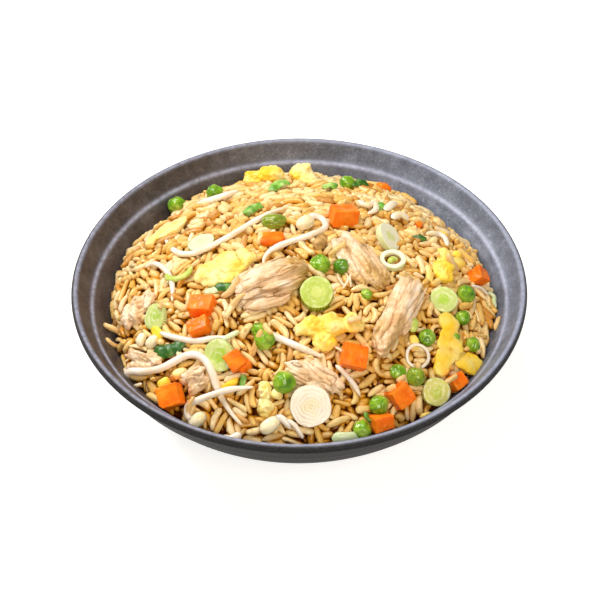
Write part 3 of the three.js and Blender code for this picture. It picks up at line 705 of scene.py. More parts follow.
# Cut spring onion: thin wet layers round each other, ribbed along the outside.
onionMaterials = {}
for look, (center, layer, edge, rim, side) in onionLooks.items():
    ribbed = [["rib"], (0, side), (1, "#6f9412" if look == "lime" else edge)]
    onionMaterials[look] = foodMaterial(
        f"cut spring onion, {look}", [["radial"], (0.3, center), (0.5, layer), (0.85, layer), (0.97, rim)],
        [("line", edge), ((2.5, 3), rim, 0.35), ("side", ribbed)], ((0.8, 2), 0.05),
        Roughness=0.25, IOR=1.37, Subsurface_Weight=0.15, Subsurface_Scale=1.8 * mm,
        Subsurface_Radius=(0.9, 1.0, 0.5), Coat_Weight=0.4, Coat_Roughness=0.1)


def onionSlice(radius, thickness, hole, seed, layers):
    half = thickness / 2
    across = np.linspace(hole if hole else 0.25, radius - 0.25, int((radius - hole) / 0.16))
    wall = np.linspace(0.3 - half, half - 0.3, 5)
    r = np.concatenate([across, 0 * wall + radius, across[::-1]])
    side = np.concatenate([0 * across, 0 * wall + 1, 0 * across])[:, None]
    facing = np.concatenate([0 * across - 1, 0 * wall, 0 * across + 1])[:, None]
    sides = 96
    angle = np.arange(sides) * 2 * math.pi / sides
    circle = np.stack([np.cos(angle), np.sin(angle), 0 * angle], 1)
    wander, faint = noiseAt(circle * 2, 1.0, seed + 7), noiseAt(circle * 3, 1.0, seed)
    share = r[:, None] / radius
    flatPlace = np.stack([share * circle[:, 0], share * circle[:, 1], 0 * share * circle[:, 0]], -1)
    patch = noiseAt(flatPlace.reshape(-1, 3), 0.32, seed).reshape(flatPlace.shape[:2])
    ripple = np.cos(share ** 0.8 * layers * 2 * math.pi + 2.2 * wander + 1.4 * faint * share + 1.2 * patch)
    lines = (1 - side) * np.clip(0.35 + 0.7 * patch, 0, 1) * np.clip(ripple, 0, 1) ** 1.5
    z = facing * (half + 0.025 * ripple - 0.15 * share ** 6)
    z = z + np.concatenate([0 * across, wall, 0 * across])[:, None]
    ribs = np.cos(angle * 34)[None] * side
    out = r[:, None] * (1 + 0.045 * noiseAt(circle * 1.3, 1.0, seed) * share ** 0.5) + 0.1 * ribs
    points = np.stack([out * circle[:, 0], out * circle[:, 1], z], -1).reshape(-1, 3)
    radial = share + 0.22 * patch * (1 - side)
    values = [radial.ravel(), lines.ravel(), np.repeat(side, sides), np.clip(-ribs, 0, 1).ravel()]
    if hole:
        return (points, bandFaces(len(r), sides, closed=True), *values)
    points = np.concatenate([points, [[0, 0, -half], [0, 0, half]]])
    return (points, bandFaces(len(r), sides), *[np.concatenate([v, [0, 0]]) for v in values])


onionLayers = ("radial", "line", "side", "rib")
for i, (x, y, radius, thickness, hole, turn, leanX, leanY, stretch, look) in enumerate(onions):
    points, faces, *values = onionSlice(radius, thickness, hole, i, 6 if look == "cream" else 3)
    points[:, 0] *= stretch
    cup = noiseAt(points * [1, 1, 0], 9, i + 3) * 0.5
    points[:, 2] += cup
    place = layOn(x, y, thickness / 2 + 0.6, turn, leanX, leanY)
    piece = joined(f"onionSlice{i + 1:02d}", [(placed(points, place), faces, *values)], onionLayers)
    finishTopping(piece, onionMaterials[look], "onion", numbered("onion", i))
print("onion made")


carrots = {
    "count": 10,
    "voxel": 0.33,
    "smoothing": 4,
    "swell": (4, 0.25),  # size and height of the unevenness of the cut faces
    "pits": (1.2, 0.08),
}

# Boiled carrot: dense wet flesh, cut clean, so its faces are flat, glossy and deeply coloured.
carrotFlesh = foodMaterial(
    "cooked carrot",
    [[(5, 3)], (0.3, "#f06204"), (0.5, "#f8790a"), (0.7, "#fd9226")],
    [((0.9, 2), "#ffa040", 0.2)], ((0.9, 2), 0.06), Roughness=0.36, IOR=1.35, Specular_IOR_Level=0.25,
    Subsurface_Weight=0.2, Subsurface_Scale=1.4 * mm, Subsurface_Radius=(1.0, 0.4, 0.1),
    Coat_Weight=0.12, Coat_Roughness=0.2)

for i in range(carrots["count"]):
    node = numbered("carrot", i)
    piece = softCopy(node, f"carrotDice{i + 1:02d}", carrots["voxel"], carrots["smoothing"])
    points = pointsOf(piece)
    swellSize, swell = carrots["swell"]
    pitSize, pits = carrots["pits"]
    pushOut(piece, swell * noiseAt(points, swellSize, i) + pits * noiseAt(points, pitSize, i + 3))
    finishTopping(piece, carrotFlesh, "carrot", node)
print("carrot made")


peas = [  # x, y, radius
    (-5.8, -62.5, 4.6), (8.3, -10.6, 4.2), (-13.7, -45.4, 4.3), (-10.4, 16.4, 4.1), (68, -8.8, 3.9),
    (-53, 57.6, 4.1), (50.5, -37.8, 3.5), (24, -75.9, 3.7), (45, -54.7, 3.9), (17.2, -10.4, 3.6),
    (38.5, -54.4, 3.2), (30.6, -67, 3.9), (69.5, -31.9, 3.2),
]
peaLooks = {  # by the pea's place in the list
    3: {"stretch": 1.32, "olive": 1, "turn": 5},
    8: {"olive": 0.6},
    9: {"stretch": 1.05, "dark": 0.6},
}
smallPeas = [(-36, 52, 3.8), (66, -21.6, 3.2), (21, 55, 3.4), (-16, -41, 3.2), (62, -33, 2.6),
             (27, -24.6, 2.5)]

# Cooked green peas: a thin glossy skin that has shrunk a little on the soft flesh, so it creases and dents;
# the creases and the dent are painted darker green as shade.
peaSkin = foodMaterial(
    "cooked green pea",
    [[(5, 2)], (0.3, "#5c9210"), (0.5, "#82b020"), (0.72, "#b2d04c")],
    [("dark", "#2a6a14"), ("olive", "#8b9a26"), ("crease", "#346e08")], ((0.7, 2), 0.06),
    Roughness=0.2, IOR=1.4, Subsurface_Weight=0.15, Subsurface_Scale=1.2 * mm,
    Subsurface_Radius=(0.8, 1.0, 0.2), Coat_Weight=0.6, Coat_Roughness=0.1)
ball, ballFaces = ballForm(5)


def peaForm(x, y, radius, seed, stretch=1, olive=0, dark=0, turn=None):
    folds = noiseAt(ball, 0.75, seed)
    crease = np.clip(1 - np.abs(folds) / 0.22, 0, 1)
    direction = np.array([math.cos(seed * 2.1), math.sin(seed * 2.1), 0.9])
    direction /= np.linalg.norm(direction)
    dent = np.exp(-((1 - ball @ direction) / 0.1) ** 1.5)
    size = 1 + 0.07 * noiseAt(ball, 0.9, seed + 2) - 0.045 * crease - 0.16 * dent
    size += 0.02 * noiseAt(ball, 0.3, seed)
    girth = radius / stretch ** 0.5
    points = ball * size[:, None] * [radius * stretch, girth, 0.94 * girth]
    # The creases and the dent are painted darker green: painted shade.
    return (placed(points, layOn(x, y, 0.45 * radius, 40 * seed if turn is None else turn)), [ballFaces],
            0.6 * crease + 0.2 * dent, np.full(len(ball), olive), np.full(len(ball), dark))


peaLayers = ("crease", "olive", "dark")
for i, (x, y, radius) in enumerate(peas):
    piece = joined(f"cookedPea{i + 1:02d}", [peaForm(x, y, radius, i, **peaLooks.get(i, {}))], peaLayers)
    finishTopping(piece, peaSkin, "pea", numbered("pea", i))
extra = [peaForm(x, y, radius, i + 20) for i, (x, y, radius) in enumerate(smallPeas)]
finishTopping(joined("halfBuriedPeas", extra, peaLayers), peaSkin, "pea", "rice_heap")
print("peas made")


def stripForm(route, halfWidth, halfThick, values, taper=0.3, sides=10, curl=0):
    path = smoothPath(onHeap(route), 0.6)
    shape = roundEnds(len(path), taper)
    points, faces = strand(path, halfWidth * shape, halfThick * shape, sides, curl=curl)
    return (points, faces, *[np.zeros(len(points))] * values)


greens = [  # pieces of spring onion leaf: route, half width, half thickness, how dark
    ([[-34, -17.4, 1.6], [-30.6, -18.4, 2.6], [-27, -19.6, 2.4], [-23, -18, 1.6]], 2.3, 0.7, 0.9),
    ([[-31, -15.4, 1.8], [-27.4, -15.6, 2.8], [-24.4, -16.8, 2.2]], 1.6, 0.6, 0.6),
    ([[-58, -36.6, 1], [-54.6, -39.6, 1.8], [-50, -40.4, 2], [-45.6, -37.6, 1.2]], 3.0, 0.6, 1),
    ([[-22.6, -56.6, 1], [-21.8, -59.6, 1.8], [-22.6, -62.4, 1.2]], 1.3, 0.5, 0.4),
    ([[-13.4, 45.4, 2], [-10, 47.6, 3.4], [-7, 51, 3.8], [-4, 53.6, 2.4]], 2.6, 0.9, 0),
    ([[-23, 25.6, 1.8], [-19.4, 28.4, 2.6], [-16.4, 32, 1.8]], 2.8, 1.2, 0.2),
    ([[9.6, 48, 1.6], [13.6, 49.6, 2.4], [17, 49, 1.6]], 2.6, 1.0, 0),
    ([[22, 53, 1.8], [26.6, 57, 2.6], [30, 58, 1.6]], 2.2, 1.0, 0.8),
    ([[47.4, 19.6, 1], [50.2, 17.8, 2], [53, 17.2, 1.2]], 1.5, 1.0, 0.9),
    ([[31.4, 36, 1], [34.4, 34.6, 2], [36, 31.6, 1.4]], 2.2, 0.8, 0),
    ([[57.6, -51.6, 1.4], [61, -52.2, 2.2], [64.4, -51, 1.2]], 1.6, 0.7, 0.7),
    ([[31, -69.6, 1], [27, -72.6, 1.2], [25.4, -70, 1]], 1.0, 0.5, 0.6),
    ([[0.6, -59.4, 1], [2.4, -62.4, 1.4], [1.4, -65.4, 1]], 1.1, 0.6, 0.9),
]
# Green leaf of the spring onion: a thin waxy tube, cut across.
leafGreen = foodMaterial(
    "spring onion leaf",
    [[(3, 3)], (0.3, "#5ea028"), (0.5, "#8cc448"), (0.7, "#c6e490")], [("dark", "#245e14")], ((1, 2), 0.1),
    Roughness=0.42, Subsurface_Weight=0.2, Subsurface_Scale=1 * mm, Coat_Weight=0.1, Coat_Roughness=0.2)
forms = []
for route, width, thick, dark in greens:
    points, faces = stripForm(route, width, 0.55 * thick, 0, 0.12, 24, 0.35)
    crumple = np.stack([noiseAt(points, 2.2, axis + width) for axis in range(3)], 1)
    forms.append((points + 0.45 * crumple, faces, np.clip(dark + 0.4 * crumple[:, 0], 0, 1)))
finishTopping(joined("onionLeaves", forms, ("dark",)), leafGreen, "onion", "rice_heap")

paleBits = [  # slivers of the onion's white: route, half width, half thickness, look
    ([[-53.4, -1.6, 1.4], [-53, -6.6, 2], [-49, -9.6, 2.2], [-45, -8.2, 2], [-43.6, -3.6, 1.4]],
     1.5, 1.0, "lime"),
    ([[12.2, -79.6, 1.6], [17.4, -79.2, 1.9], [23.4, -78, 1.6]], 2.6, 1.3, "pale"),
    ([[-38.4, -19, 1], [-35.4, -20, 1.8], [-32, -18.6, 1]], 1.8, 0.8, "pale"),
    ([[44.4, -31, 2], [44.8, -34.4, 3.2], [44, -37.8, 2]], 1.9, 1.1, "lime"),
    ([[36.2, -4.6, 1.4], [38, -2.6, 2.4], [40.2, -1.4, 1.4]], 1.3, 0.9, "lime"),
    ([[78.2, 0.4, 1], [80.4, -1.2, 1.8], [80.2, -4.4, 1.8], [81.4, -6.6, 1]], 1.1, 0.8, "pale"),
    ([[-33, -45, 1], [-28, -43, 1.6], [-23.6, -41, 1]], 1.2, 0.8, "pale"),
    ([[28, 36.6, 1.6], [25.6, 33.4, 2.4], [28.6, 30.6, 2.6], [31.6, 33, 2.6], [32, 28, 2.4],
      [28.6, 24.6, 1.8]], 1.3, 1.1, "cream"),
    ([[36, 29.6, 1.8], [39, 35, 2.6], [40.6, 39.6, 1.8]], 1.9, 1.1, "cream"),
    ([[38.4, 24.6, 1.8], [42, 28, 2.6], [46, 27, 1.8]], 1.8, 1.2, "cream"),
    ([[53, 22, 1.6], [58, 24, 2.2], [61, 22, 2.2], [62, 17, 1.6]], 1.3, 1.1, "cream"),
]
for look in ("lime", "pale", "cream"):
    forms = [stripForm(route, width, thick, 4) for route, width, thick, kind in paleBits if kind == look]
    piece = joined(f"{look}OnionSlivers", forms, onionLayers)
    setAttribute(piece, "radial", np.clip(0.5 + 0.5 * noiseAt(pointsOf(piece), 3), 0, 1))
    finishTopping(piece, onionMaterials[look], "onion", "rice_heap")

sproutBits = [  # broken sprout ends: route, half width
    ([[-30.6, -76, 1], [-26.6, -77.4, 1.6], [-22.6, -76.4, 1]], 1.9),
    ([[-5, -74, 1.4], [-1.6, -76.2, 2.2], [1.4, -80, 1.4]], 1.0),
    ([[70.6, -2.4, 1.4], [74.6, -1, 1.8], [78.6, -1.4, 1]], 0.6),
]
forms = [stripForm(route, width, width, 2) for route, width in sproutBits]
for x, y, radius, turn in [(-63.6, -31, 2.5, 60), (-59, -34, 2.8, 40)]:
    bean, beanFaces = beanHead(layOn(x, y, 1.2, turn), radius, x)
    forms.append((bean, beanFaces, np.ones(len(bean)), np.zeros(len(bean))))
finishTopping(joined("sproutBits", forms, ("head", "tip")), sproutWhite, "sprout", "rice_heap")

small, smallFaces = ballForm(4)


def crumbForm(x, y, size, turn, lift, seed, boxy, *values):  # boxy 2 is round, and more is squarer
    norm = (np.abs(small) ** boxy).sum(1) ** (-1 / boxy)
    points = small * norm[:, None] * size
    points *= 1 + 0.1 * noiseAt(small, 0.8, seed)[:, None]
    return (placed(points, layOn(x, y, lift, turn, 8 * math.sin(seed), 8 * math.cos(seed))), [smallFaces],
            *[np.full(len(points), value) for value in values])


carrotBits = [  # x, y, half sizes, turn
    (-10.7, 6.6, (5.2, 3, 2.2), 10), (36.7, 60.6, (3.0, 2.4, 2.8), 20), (50.6, 28, (1.8, 1.4, 1.4), 60),
    (-21.6, -54, (2.6, 2, 3), 30), (20.4, 23.4, (2, 1.6, 1.6), 0), (45.6, -70, (2.2, 1.8, 1.6), 20),
]
forms = [crumbForm(x, y, size, turn, 0.6, i, 5) for i, (x, y, size, turn) in enumerate(carrotBits)]
finishTopping(joined("carrotBits", forms), carrotFlesh, "carrot", "rice_heap")

eggBits = [  # x, y, half sizes, turn, paleness
    (-53.6, -52.6, (2.7, 2.2, 1.9), 0, 0.1), (-47.2, -51.4, (3, 2, 1.8), 10, 0.8),
    (50, -66, (3.2, 2.2, 2), 20, 0.5), (45.6, -41, (1.8, 3, 1.2), 20, 0.2),
    (-27.8, -60, (4.6, 1.7, 1.5), 25, 0), (-9, -66, (2, 2.4, 1.8), 60, 0.7), (66, 8, (3.4, 2.4, 2), 0, 0.3),
    (42.6, -22, (1.4, 3.6, 1.2), 20, 0.4), (53, -5, (1.6, 4, 1.2), 10, 0.6), (66, 13, (2.4, 2, 2), 30, 0.1),
    (-57, -31, (2, 3.4, 1.4), 40, 0.0), (61, 28, (2, 1.8, 1.6), 0, 0.3),
    (-21, -5, (2.6, 1.6, 1.4), 0, 0.8), (22.4, 62, (3, 2.4, 2), 0, 0.6), (8, -83, (2.4, 1.4, 1), 0, 0.5),
]
forms = []
for i, (x, y, size, turn, pale) in enumerate(eggBits):
    forms.append(crumbForm(x, y, size, turn, 0.8, i + 30, 2.6, pale, 0))
finishTopping(joined("eggBits", forms, ("pale", "crease")), eggCurd, "egg", "rice_heap")

meatThreads = [  # single fibres torn off the chicken: route, half width
    ([[15.3, -13.9, 1.6], [16, -18, 2.6], [18.6, -21.6, 1.6]], 0.55),
    ([[21.8, -12.4, 1.6], [20.4, -16.8, 3], [20.8, -21.6, 1.6]], 0.5),
    ([[18.4, -13.4, 1.8], [19.6, -18.2, 2.8], [17.4, -22.4, 1.6]], 0.45),
    ([[50.8, -15, 3], [47.6, -21.4, 4], [45.4, -28.6, 2.4]], 0.6),
    ([[13, -48, 1.6], [17, -50.6, 2.4], [22, -56, 1.6]], 0.6),
]
forms = [stripForm(route, width, width, 2) for route, width in meatThreads]
bean, beanFaces = beanHead(layOn(8.6, 1.4, 1.6, 60), 3.6, 4)
bean += 0.5 * noiseAt(bean, 1.6)[:, None] * [0.3, 0.3, 1]
forms.append((bean, beanFaces, np.full(len(bean), 0.9), np.clip(0.4 + noiseAt(bean, 1.6), 0, 0.8)))
finishTopping(joined("chickenBits", forms, ("brown", "crease")), chickenMeat, "chicken", "rice_heap")
print("small bits made")


# The loose rice: rods that settle on a core, round the toppings.
rice = {
    "count": 2900,
    "scatter": 1.2,  # how far a grain starts from its even place
    "length": (7.4, 11.2),
    "width": (2.6, 3.75),
    "swollen": 0.2,  # how much thicker the softer rice at the back is
    "broken": 0.18,  # share of short broken grains
    "flat": 0.12,  # how fast the grains on top are laid flat as they settle
    "depth": 5.6,  # of the loose layer over the core
    "proud": 1.6,  # how far a grain may stand over the heap's surface
    "clump": (9.0, 1.6),  # size and height of the clumps that the grains stick in
    "notch": 4.5,  # how far the uneven edge of the heap drops against the wall
    "steps": 80,
    "overlap": 0.8,  # soft grains press into each other by the rest
    "strayRadius": 1.45,
    "specks": 260,
}

innerWall = np.array([(r, z) for r, z in bowl["inner"][::-1]])


def wallRadius(z):
    return np.interp(z, innerWall[:, 1], innerWall[:, 0])


def looseHeight(x, y):
    size, height = rice["clump"]
    clump = flatNoise(x / size, y / size, 3)
    edge = np.clip((np.hypot(x - heap["centreX"], y) - 72) / 8, 0, 1)
    turn = np.arctan2(y, x - heap["centreX"])
    notch = flatNoise(3.2 * np.cos(turn), 3.2 * np.sin(turn), 5)
    return heapHeight(x, y) + height * clump * 1.6 - rice["notch"] * edge * np.clip(0.3 + 1.6 * notch, 0, 1)


coarseSolids = [node for name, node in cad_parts.items() if name not in ("bowl", "rice_heap")]
bits = [piece for piece in dressed if piece.name.endswith(("Peas", "Leaves", "Slivers", "Bits"))]
toppingTree = treeOf(coarseSolids + bits)


def closestOnRods(startA, endA, startB, endB):  # how far along each of two rods the other comes nearest
    a, b, r = endA - startA, endB - startB, startA - startB
    aa, bb, ab = (a * a).sum(1), (b * b).sum(1), (a * b).sum(1)
    ar, br = (a * r).sum(1), (b * r).sum(1)
    s = np.clip((ab * br - ar * bb) / np.maximum(aa * bb - ab * ab, 1e-6), 0, 1)
    t = np.clip((ab * s + br) / bb, 0, 1)
    return np.clip((ab * t - ar) / aa, 0, 1), t


def clearOfToppings(rodEnd, radius):  # moves one end of each rod, and says which were deep in a topping
    deep = np.zeros(len(rodEnd), bool)
    for i, p in enumerate(rodEnd):
        near, facing, _, distance = toppingTree.find_nearest(p, 4.0)
        if near is None:
            continue
        outward = Vector(p) - near
        wanted = radius[i] * 0.85
        if outward.dot(facing) < 0:
            rodEnd[i] = near + facing * wanted * 0.6
            deep[i] = distance > 3.2
        elif distance < wanted:
            away = outward.normalized() if distance > 1e-4 else facing
            rodEnd[i] += away * (wanted - distance)
    return deep


def settledGrains():
    count = rice["count"]
    goldenTurn, goldenShare = 2.399963, 0.618034  # these spread places and layers evenly
    share = (np.arange(count) + 0.5) / count
    reach = (heap["radius"] + 0.5) * share ** 0.47  # a little denser where the heap is steep
    angle = np.arange(count) * goldenTurn
    x = heap["centreX"] + reach * np.cos(angle) + draw.normal(0, rice["scatter"], count)
    y = reach * np.sin(angle) + draw.normal(0, rice["scatter"], count)
    length = draw.uniform(*rice["length"], count)
    broken = draw.random(count) < rice["broken"]
    length[broken] *= draw.uniform(0.45, 0.7, broken.sum())
    radius = draw.uniform(*rice["width"], count) / 2 * (1 + rice["swollen"] * np.clip((y + 15) / 50, 0, 1))
    normal = heapNormal(x, y)
    layer = np.arange(count) * goldenShare % 1  # 0 on top, 1 deepest
    depth = -rice["depth"] * layer * 0.8 - radius
    centre = np.stack([x, y, looseHeight(x, y)], 1) + normal * depth[:, None]
    flow = flatNoise(x / 20, y / 20, 0) * 6  # neighbours lie alike
    heading = (flow + draw.normal(0, 0.8, count)) % math.pi
    across = np.pi * (heading > math.pi / 2)  # more of the grains at the back lie across
    heading += (across - heading) * 0.6 * np.clip((y + 5) / 50, 0, 1)
    side = unit(np.cross(normal, np.stack([np.cos(heading), np.sin(heading), np.zeros(count)], 1)))
    along = unit(np.cross(side, normal) + normal * (draw.normal(0, 0.12 + 0.4 * layer, count))[:, None])
    half = (length / 2 - 0.8 * radius)[:, None]
    start, end = centre - along * half, centre + along * half
    rodLength = np.linalg.norm(end - start, axis=1)
    buried = np.zeros(count, bool)
    for step in range(rice["steps"]):
        if step % 10 == 0:
            middle = (start + end) / 2
            cells = KDTree(count)
            for i, p in enumerate(middle):
                cells.insert(p, i)
            cells.balance()
            pairs = [(i, j) for i, p in enumerate(middle) for _, j, _ in cells.find_range(p, 11) if j > i]
            first, second = np.array(pairs).T
            surface = [looseHeight(rodEnd[:, 0], rodEnd[:, 1]) for rodEnd in (start, end)]
        normal = heapNormal((start[:, 0] + end[:, 0]) / 2, (start[:, 1] + end[:, 1]) / 2)
        start -= normal * 0.05
        end -= normal * 0.05
        s, t = closestOnRods(start[first], end[first], start[second], end[second])
        s, t = s[:, None], t[:, None]
        gapVector = (start[first] * (1 - s) + end[first] * s) - (start[second] * (1 - t) + end[second] * t)
        distance = np.linalg.norm(gapVector, axis=1, keepdims=True)
        overlap = rice["overlap"] * (radius[first] + radius[second])[:, None] - distance
        push = np.where(overlap > 0, 0.45 * overlap, 0) * gapVector / np.maximum(distance, 1e-3)
        for target, index, weight, sign in ((start, first, 1 - s, 1), (end, first, s, 1),
                                            (start, second, 1 - t, -1), (end, second, t, -1)):
            np.add.at(target, index, sign * weight * push)
        if step % 3 == 2:
            for rodEnd in (start, end):
                deep = clearOfToppings(rodEnd, radius)
                buried |= deep & (step > 60)
        for rodEnd, top in zip((start, end), surface):
            normal = heapNormal(rodEnd[:, 0], rodEnd[:, 1])
            over = (rodEnd[:, 2] - top) * normal[:, 2]
            low, high = radius - rice["depth"] - 1, rice["proud"] - radius
            rodEnd += normal * (np.clip(over, low, high) - over)[:, None] * 0.7
            out = np.hypot(rodEnd[:, 0], rodEnd[:, 1])
            room = wallRadius(rodEnd[:, 2]) - radius * 0.9
            rodEnd[:, :2] *= np.minimum(1, room / np.maximum(out, 1e-3))[:, None]
        middle, rod = (start + end) / 2, end - start
        rod -= normal * ((rod * normal).sum(1) * rice["flat"] * (1 - layer))[:, None]
        rod *= (rodLength / np.linalg.norm(rod, axis=1))[:, None] / 2
        start, end = middle - rod, middle + rod
    keep = ~buried
    return start[keep], end[keep], radius[keep]


start, end, radius = settledGrains()
print("rice settled:", len(start), "grains")


def grainForm(sides=8, rings=7):  # a blunt long grain along X, 2 long and 2 wide, its pole points last
    places = -np.cos(np.linspace(0, math.pi, rings + 2)[1:-1])
    girth = (1 - np.abs(places) ** 5) ** 0.5
    angles = np.arange(sides) * 2 * math.pi / sides
    points = [(a, g * math.cos(t), g * math.sin(t)) for a, g in zip(places, girth) for t in angles]
    return np.array(points + [(-1, 0, 0), (1, 0, 0)]), bandFaces(rings, sides)


def grainPiece(name, start, end, radius):
    form, (quads, caps) = grainForm()
    count = len(start)
    along = end - start
    half = np.linalg.norm(along, axis=1) / 2 + 0.8 * radius
    along = unit(along)
    side = unit(np.cross(along, draw.normal(size=(count, 3))))
    other = np.cross(along, side)
    bend = draw.normal(0, 0.085, count) * half
    twist = draw.normal(0, 0.03, count) * half
    flat = draw.uniform(0.62, 1.0, count)
    taper = draw.uniform(-0.2, 0.2, count)
    waist = draw.uniform(-0.1, 0.1, count)
    a, b, c = form[None, :, 0], form[None, :, 1], form[None, :, 2]
    girth = radius[:, None] * (1 + taper[:, None] * a + waist[:, None] * np.cos(math.pi * a))
    around = np.arctan2(c, b)
    girth = girth * (1 + 0.1 * np.cos(2 * around + draw.uniform(0, 6, count)[:, None])
                     + 0.07 * np.cos(3 * around + 2 * a + draw.uniform(0, 6, count)[:, None])
                     + draw.normal(0, 0.085, (count, len(form))))
    points = (((start + end) / 2)[:, None] + along[:, None] * (a * half[:, None])[..., None]
              + side[:, None] * (b * girth + bend[:, None] * (1 - 3 * a * a))[..., None]
              + other[:, None] * (c * girth * flat[:, None] + twist[:, None] * a ** 3)[..., None])
    shift = (np.arange(count) * len(form))[:, None, None]
    tone = np.repeat(draw.random(count), len(form))
    # The grain ends are tinted darker amber: painted shade for light passing through the thin ends.
    tip = np.tile(np.abs(form[:, 0]) ** 4, count)
    points = points.reshape(-1, 3)
    x, y, z = points.T
    under = (looseHeight(x, y) - z) * heapNormal(x, y)[:, 2]
    offset = points.reshape(count, -1, 3) - ((start + end) / 2)[:, None]
    upper = ((offset * heapNormal((start + end)[:, 0] / 2, (start + end)[:, 1] / 2)[:, None]).sum(2)
             / radius[:, None]).ravel()
    # Painted shade with some soy: darker the deeper a point lies under the heap's surface and on each
    # grain's underside.
    sauce = np.clip((under - 0.4) / 2.2, 0, 1) + 0.7 * np.clip(0.4 - upper, 0, 1)
    return pieceFromArrays(name, points, [(quads[None] + shift).reshape(-1, 4),
                           (caps[None] + shift).reshape(-1, 3)], {"tone": tone, "tip": tip, "sauce": sauce})


riceKinds = {  # share of the grains, and their colours from dark to light
    "goldenRice": (0.44, "#e0ac48", "#eec878", "#f7dfa4", "#cf942c"),
    "paleRice": (0.48, "#eccb7c", "#f5dca4", "#fcedc8", "#dcac4c"),
    "amberRice": (0.08, "#bf7a2a", "#d69a46", "#e8bb7c", "#9c5e18"),
}
lot = draw.random(len(start))
low = 0.0
grains = []
# Parboiled long grain, cooked, then fried in soy and oil: translucent, with an oily gloss. The gaps and the
# grains' undersides are painted amber to dark brown, partly for the soy that runs down there and mostly as
# painted shade.
for name, (share, dark, middle, light, tipColor) in riceKinds.items():
    chosen = (lot >= low) & (lot < low + share)
    low += share
    piece = grainPiece(name, start[chosen], end[chosen], radius[chosen])
    material = foodMaterial(
        name + " fried in soy", [["tone", 0.4, ((16, 2), 0.7)], (0.15, dark), (0.5, middle), (0.85, light)],
        [((1.4, 3), tipColor, 0.45), ("tip", tipColor, 0.2), ("sauce", "#df9c26", 2.8),
         ("sauce", "#642600", 1.35, -0.38)], ((1.0, 2), 0.34),
        Roughness=0.34, IOR=1.38, Subsurface_Weight=0.12, Subsurface_Scale=0.9 * mm,
        Subsurface_Radius=(1.0, 0.62, 0.22), Coat_Weight=0.5, Coat_Roughness=0.1, Specular_IOR_Level=0.1)
    dress(piece, material, "rice", "rice_heap")
    grains.append(piece)

# Grains that lie on the toppings, and specks of rice broken off in the pan.
strays = [  # x, y, heading, length
    (-78.2, -14.6, 160, 7.5), (-77.4, -22.6, 20, 5), (82, -16, 70, 7), (-44.6, 60, 80, 7),
    (15.6, -3, 20, 8), (24, 3, 140, 7), (-27, -23, 10, 8), (-25.6, -30.5, 20, 8),
    (-28, -33, 60, 7), (47, -52, 80, 3.4), (40, -58, 30, 4), (36, -63, 10, 4), (-44, -66, 40, 7),
    (-17, -47.5, 40, 7), (-12.4, -44, 120, 6), (22, -40, 20, 6), (-6, -58.4, 10, 5), (12, -56, 100, 6),
    (64, 2, 30, 7), (57, 8, 100, 6), (-16, 7, 80, 7), (60, -54, 20, 6), (-56, -22, 80, 7),
]
landing = treeOf(coarseSolids + bits + grains)


def restOn(x, y, lift):
    hit = landing.ray_cast(Vector((x, y, 95)), Vector((0, 0, -1)))[0]
    wall = np.interp(math.hypot(x, y), innerWall[:, 0], innerWall[:, 1])
    return Vector((x, y, max(hit.z if hit else 0, wall) + lift))


ends = []
for x, y, heading, length in strays:
    reach = Vector((math.cos(math.radians(heading)), math.sin(math.radians(heading)))) * (length / 2 - 1)
    ends.append([restOn(x - reach.x, y - reach.y, 1.0), restOn(x + reach.x, y + reach.y, 1.0)])
ends = np.array(ends)
piece = grainPiece("strayRice", ends[:, 0], ends[:, 1], np.full(len(ends), rice["strayRadius"]))
setAttribute(piece, "sauce", np.full(len(piece.data.vertices), 0.1))
looseBits = [dress(piece, grains[1].data.materials[0], "rice", "rice_heap")]

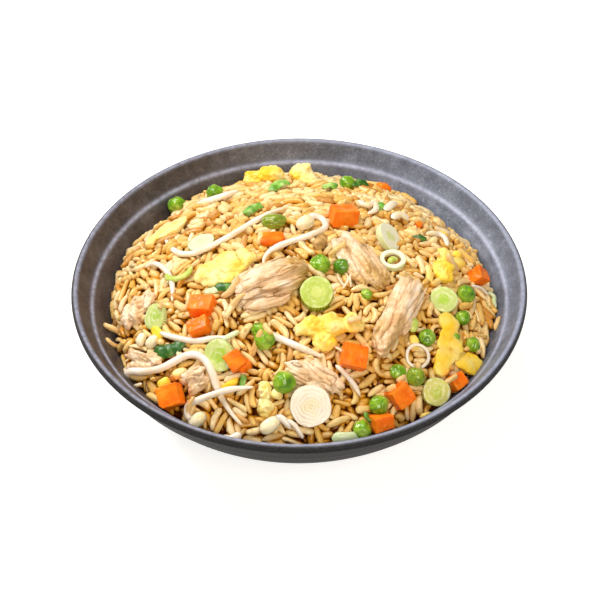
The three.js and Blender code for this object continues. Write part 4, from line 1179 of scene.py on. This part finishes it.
speckPoints, speckFaces = ballForm(1)
onlyGrains = treeOf(grains)
specks = []
while len(specks) < rice["specks"]:
    out, turn = 80 * math.sqrt(draw.random()), draw.uniform(0, 2 * math.pi)
    above = Vector((heap["centreX"] + out * math.cos(turn), out * math.sin(turn), 95))
    landed, grainHit = (tree.ray_cast(above, Vector((0, 0, -1)))[0] for tree in (landing, onlyGrains))
    if grainHit and landed.z - grainHit.z < 0.1:
        size = draw.uniform(0.4, 1.1)
        points = speckPoints * draw.uniform(0.5, 1.3, (len(speckPoints), 1)) * size + np.array(grainHit)
        plain = np.zeros(len(points))
        specks.append((points, [speckFaces], np.full(len(points), draw.random()), plain, plain))
piece = joined("riceSpecks", specks, ("tone", "tip", "sauce"))
looseBits.append(dress(piece, grains[0].data.materials[0], "rice", "rice_heap"))

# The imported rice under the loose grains, down to the floor of the bowl.
coreSteps = {"rings": 60, "sides": 120}
floorLine = bowl["inner"][8:]
ringShare = np.linspace(0, 1, coreSteps["rings"] + 1)[1:]
angles = np.arange(coreSteps["sides"]) * 2 * math.pi / coreSteps["sides"]
radii = ringShare[:, None] * (wallRadius(25) - 0.2)
x, y = radii * np.cos(angles), radii * np.sin(angles)
z = heapHeight(x, y) - rice["depth"] * heapNormal(x, y)[..., 2]
relief = noiseAt(np.stack([x.ravel(), y.ravel(), z.ravel()], 1), 2.6).reshape(x.shape)
z = np.minimum(z + 0.8 * relief, heapHeight(x, y) - 3.4) - 5 * np.clip((radii - 72) / 8, 0, 1) ** 2
upper = np.stack([x, y, z], -1)
bottom = np.array([[(r * math.cos(t), r * math.sin(t), h + 0.3) for t in angles] for r, h in floorLine])
rows = np.concatenate([upper, bottom])[::-1]
points = np.concatenate([rows.reshape(-1, 3), [[0, 0, 8.5], [0, 0, upper[0, :, 2].mean()]]])
riceCore = pieceFromArrays("riceCore", points, bandFaces(len(rows), coreSteps["sides"]))
material = foodMaterial(  # seen only in the crevices, and coloured dark brown as their painted shade
    "packed fried rice", [[(3.2, 3)], (0.3, "#3a1400"), (0.5, "#5c2602"), (0.7, "#8a4808")], [],
    ((3.2, 3), 1.0), Roughness=0.4, Subsurface_Weight=0.2, Subsurface_Scale=1.5 * mm)
dress(riceCore, material, "rice", "rice_heap")
print("rice made")

# Food that touches the bowl is pressed against its wall.
wallGap = 0.1
top = cadHigh[2] / mm - 0.05
for piece in dressed + grains + looseBits:
    points = pointsOf(piece)
    out = np.hypot(points[:, 0], points[:, 1])
    points[:, :2] *= np.minimum(1, (wallRadius(points[:, 2]) - wallGap) / np.maximum(out, 1e-3))[:, None]
    points[:, 2] = np.minimum(points[:, 2], top)
    setPoints(piece, points)
print("food pressed against the bowl")
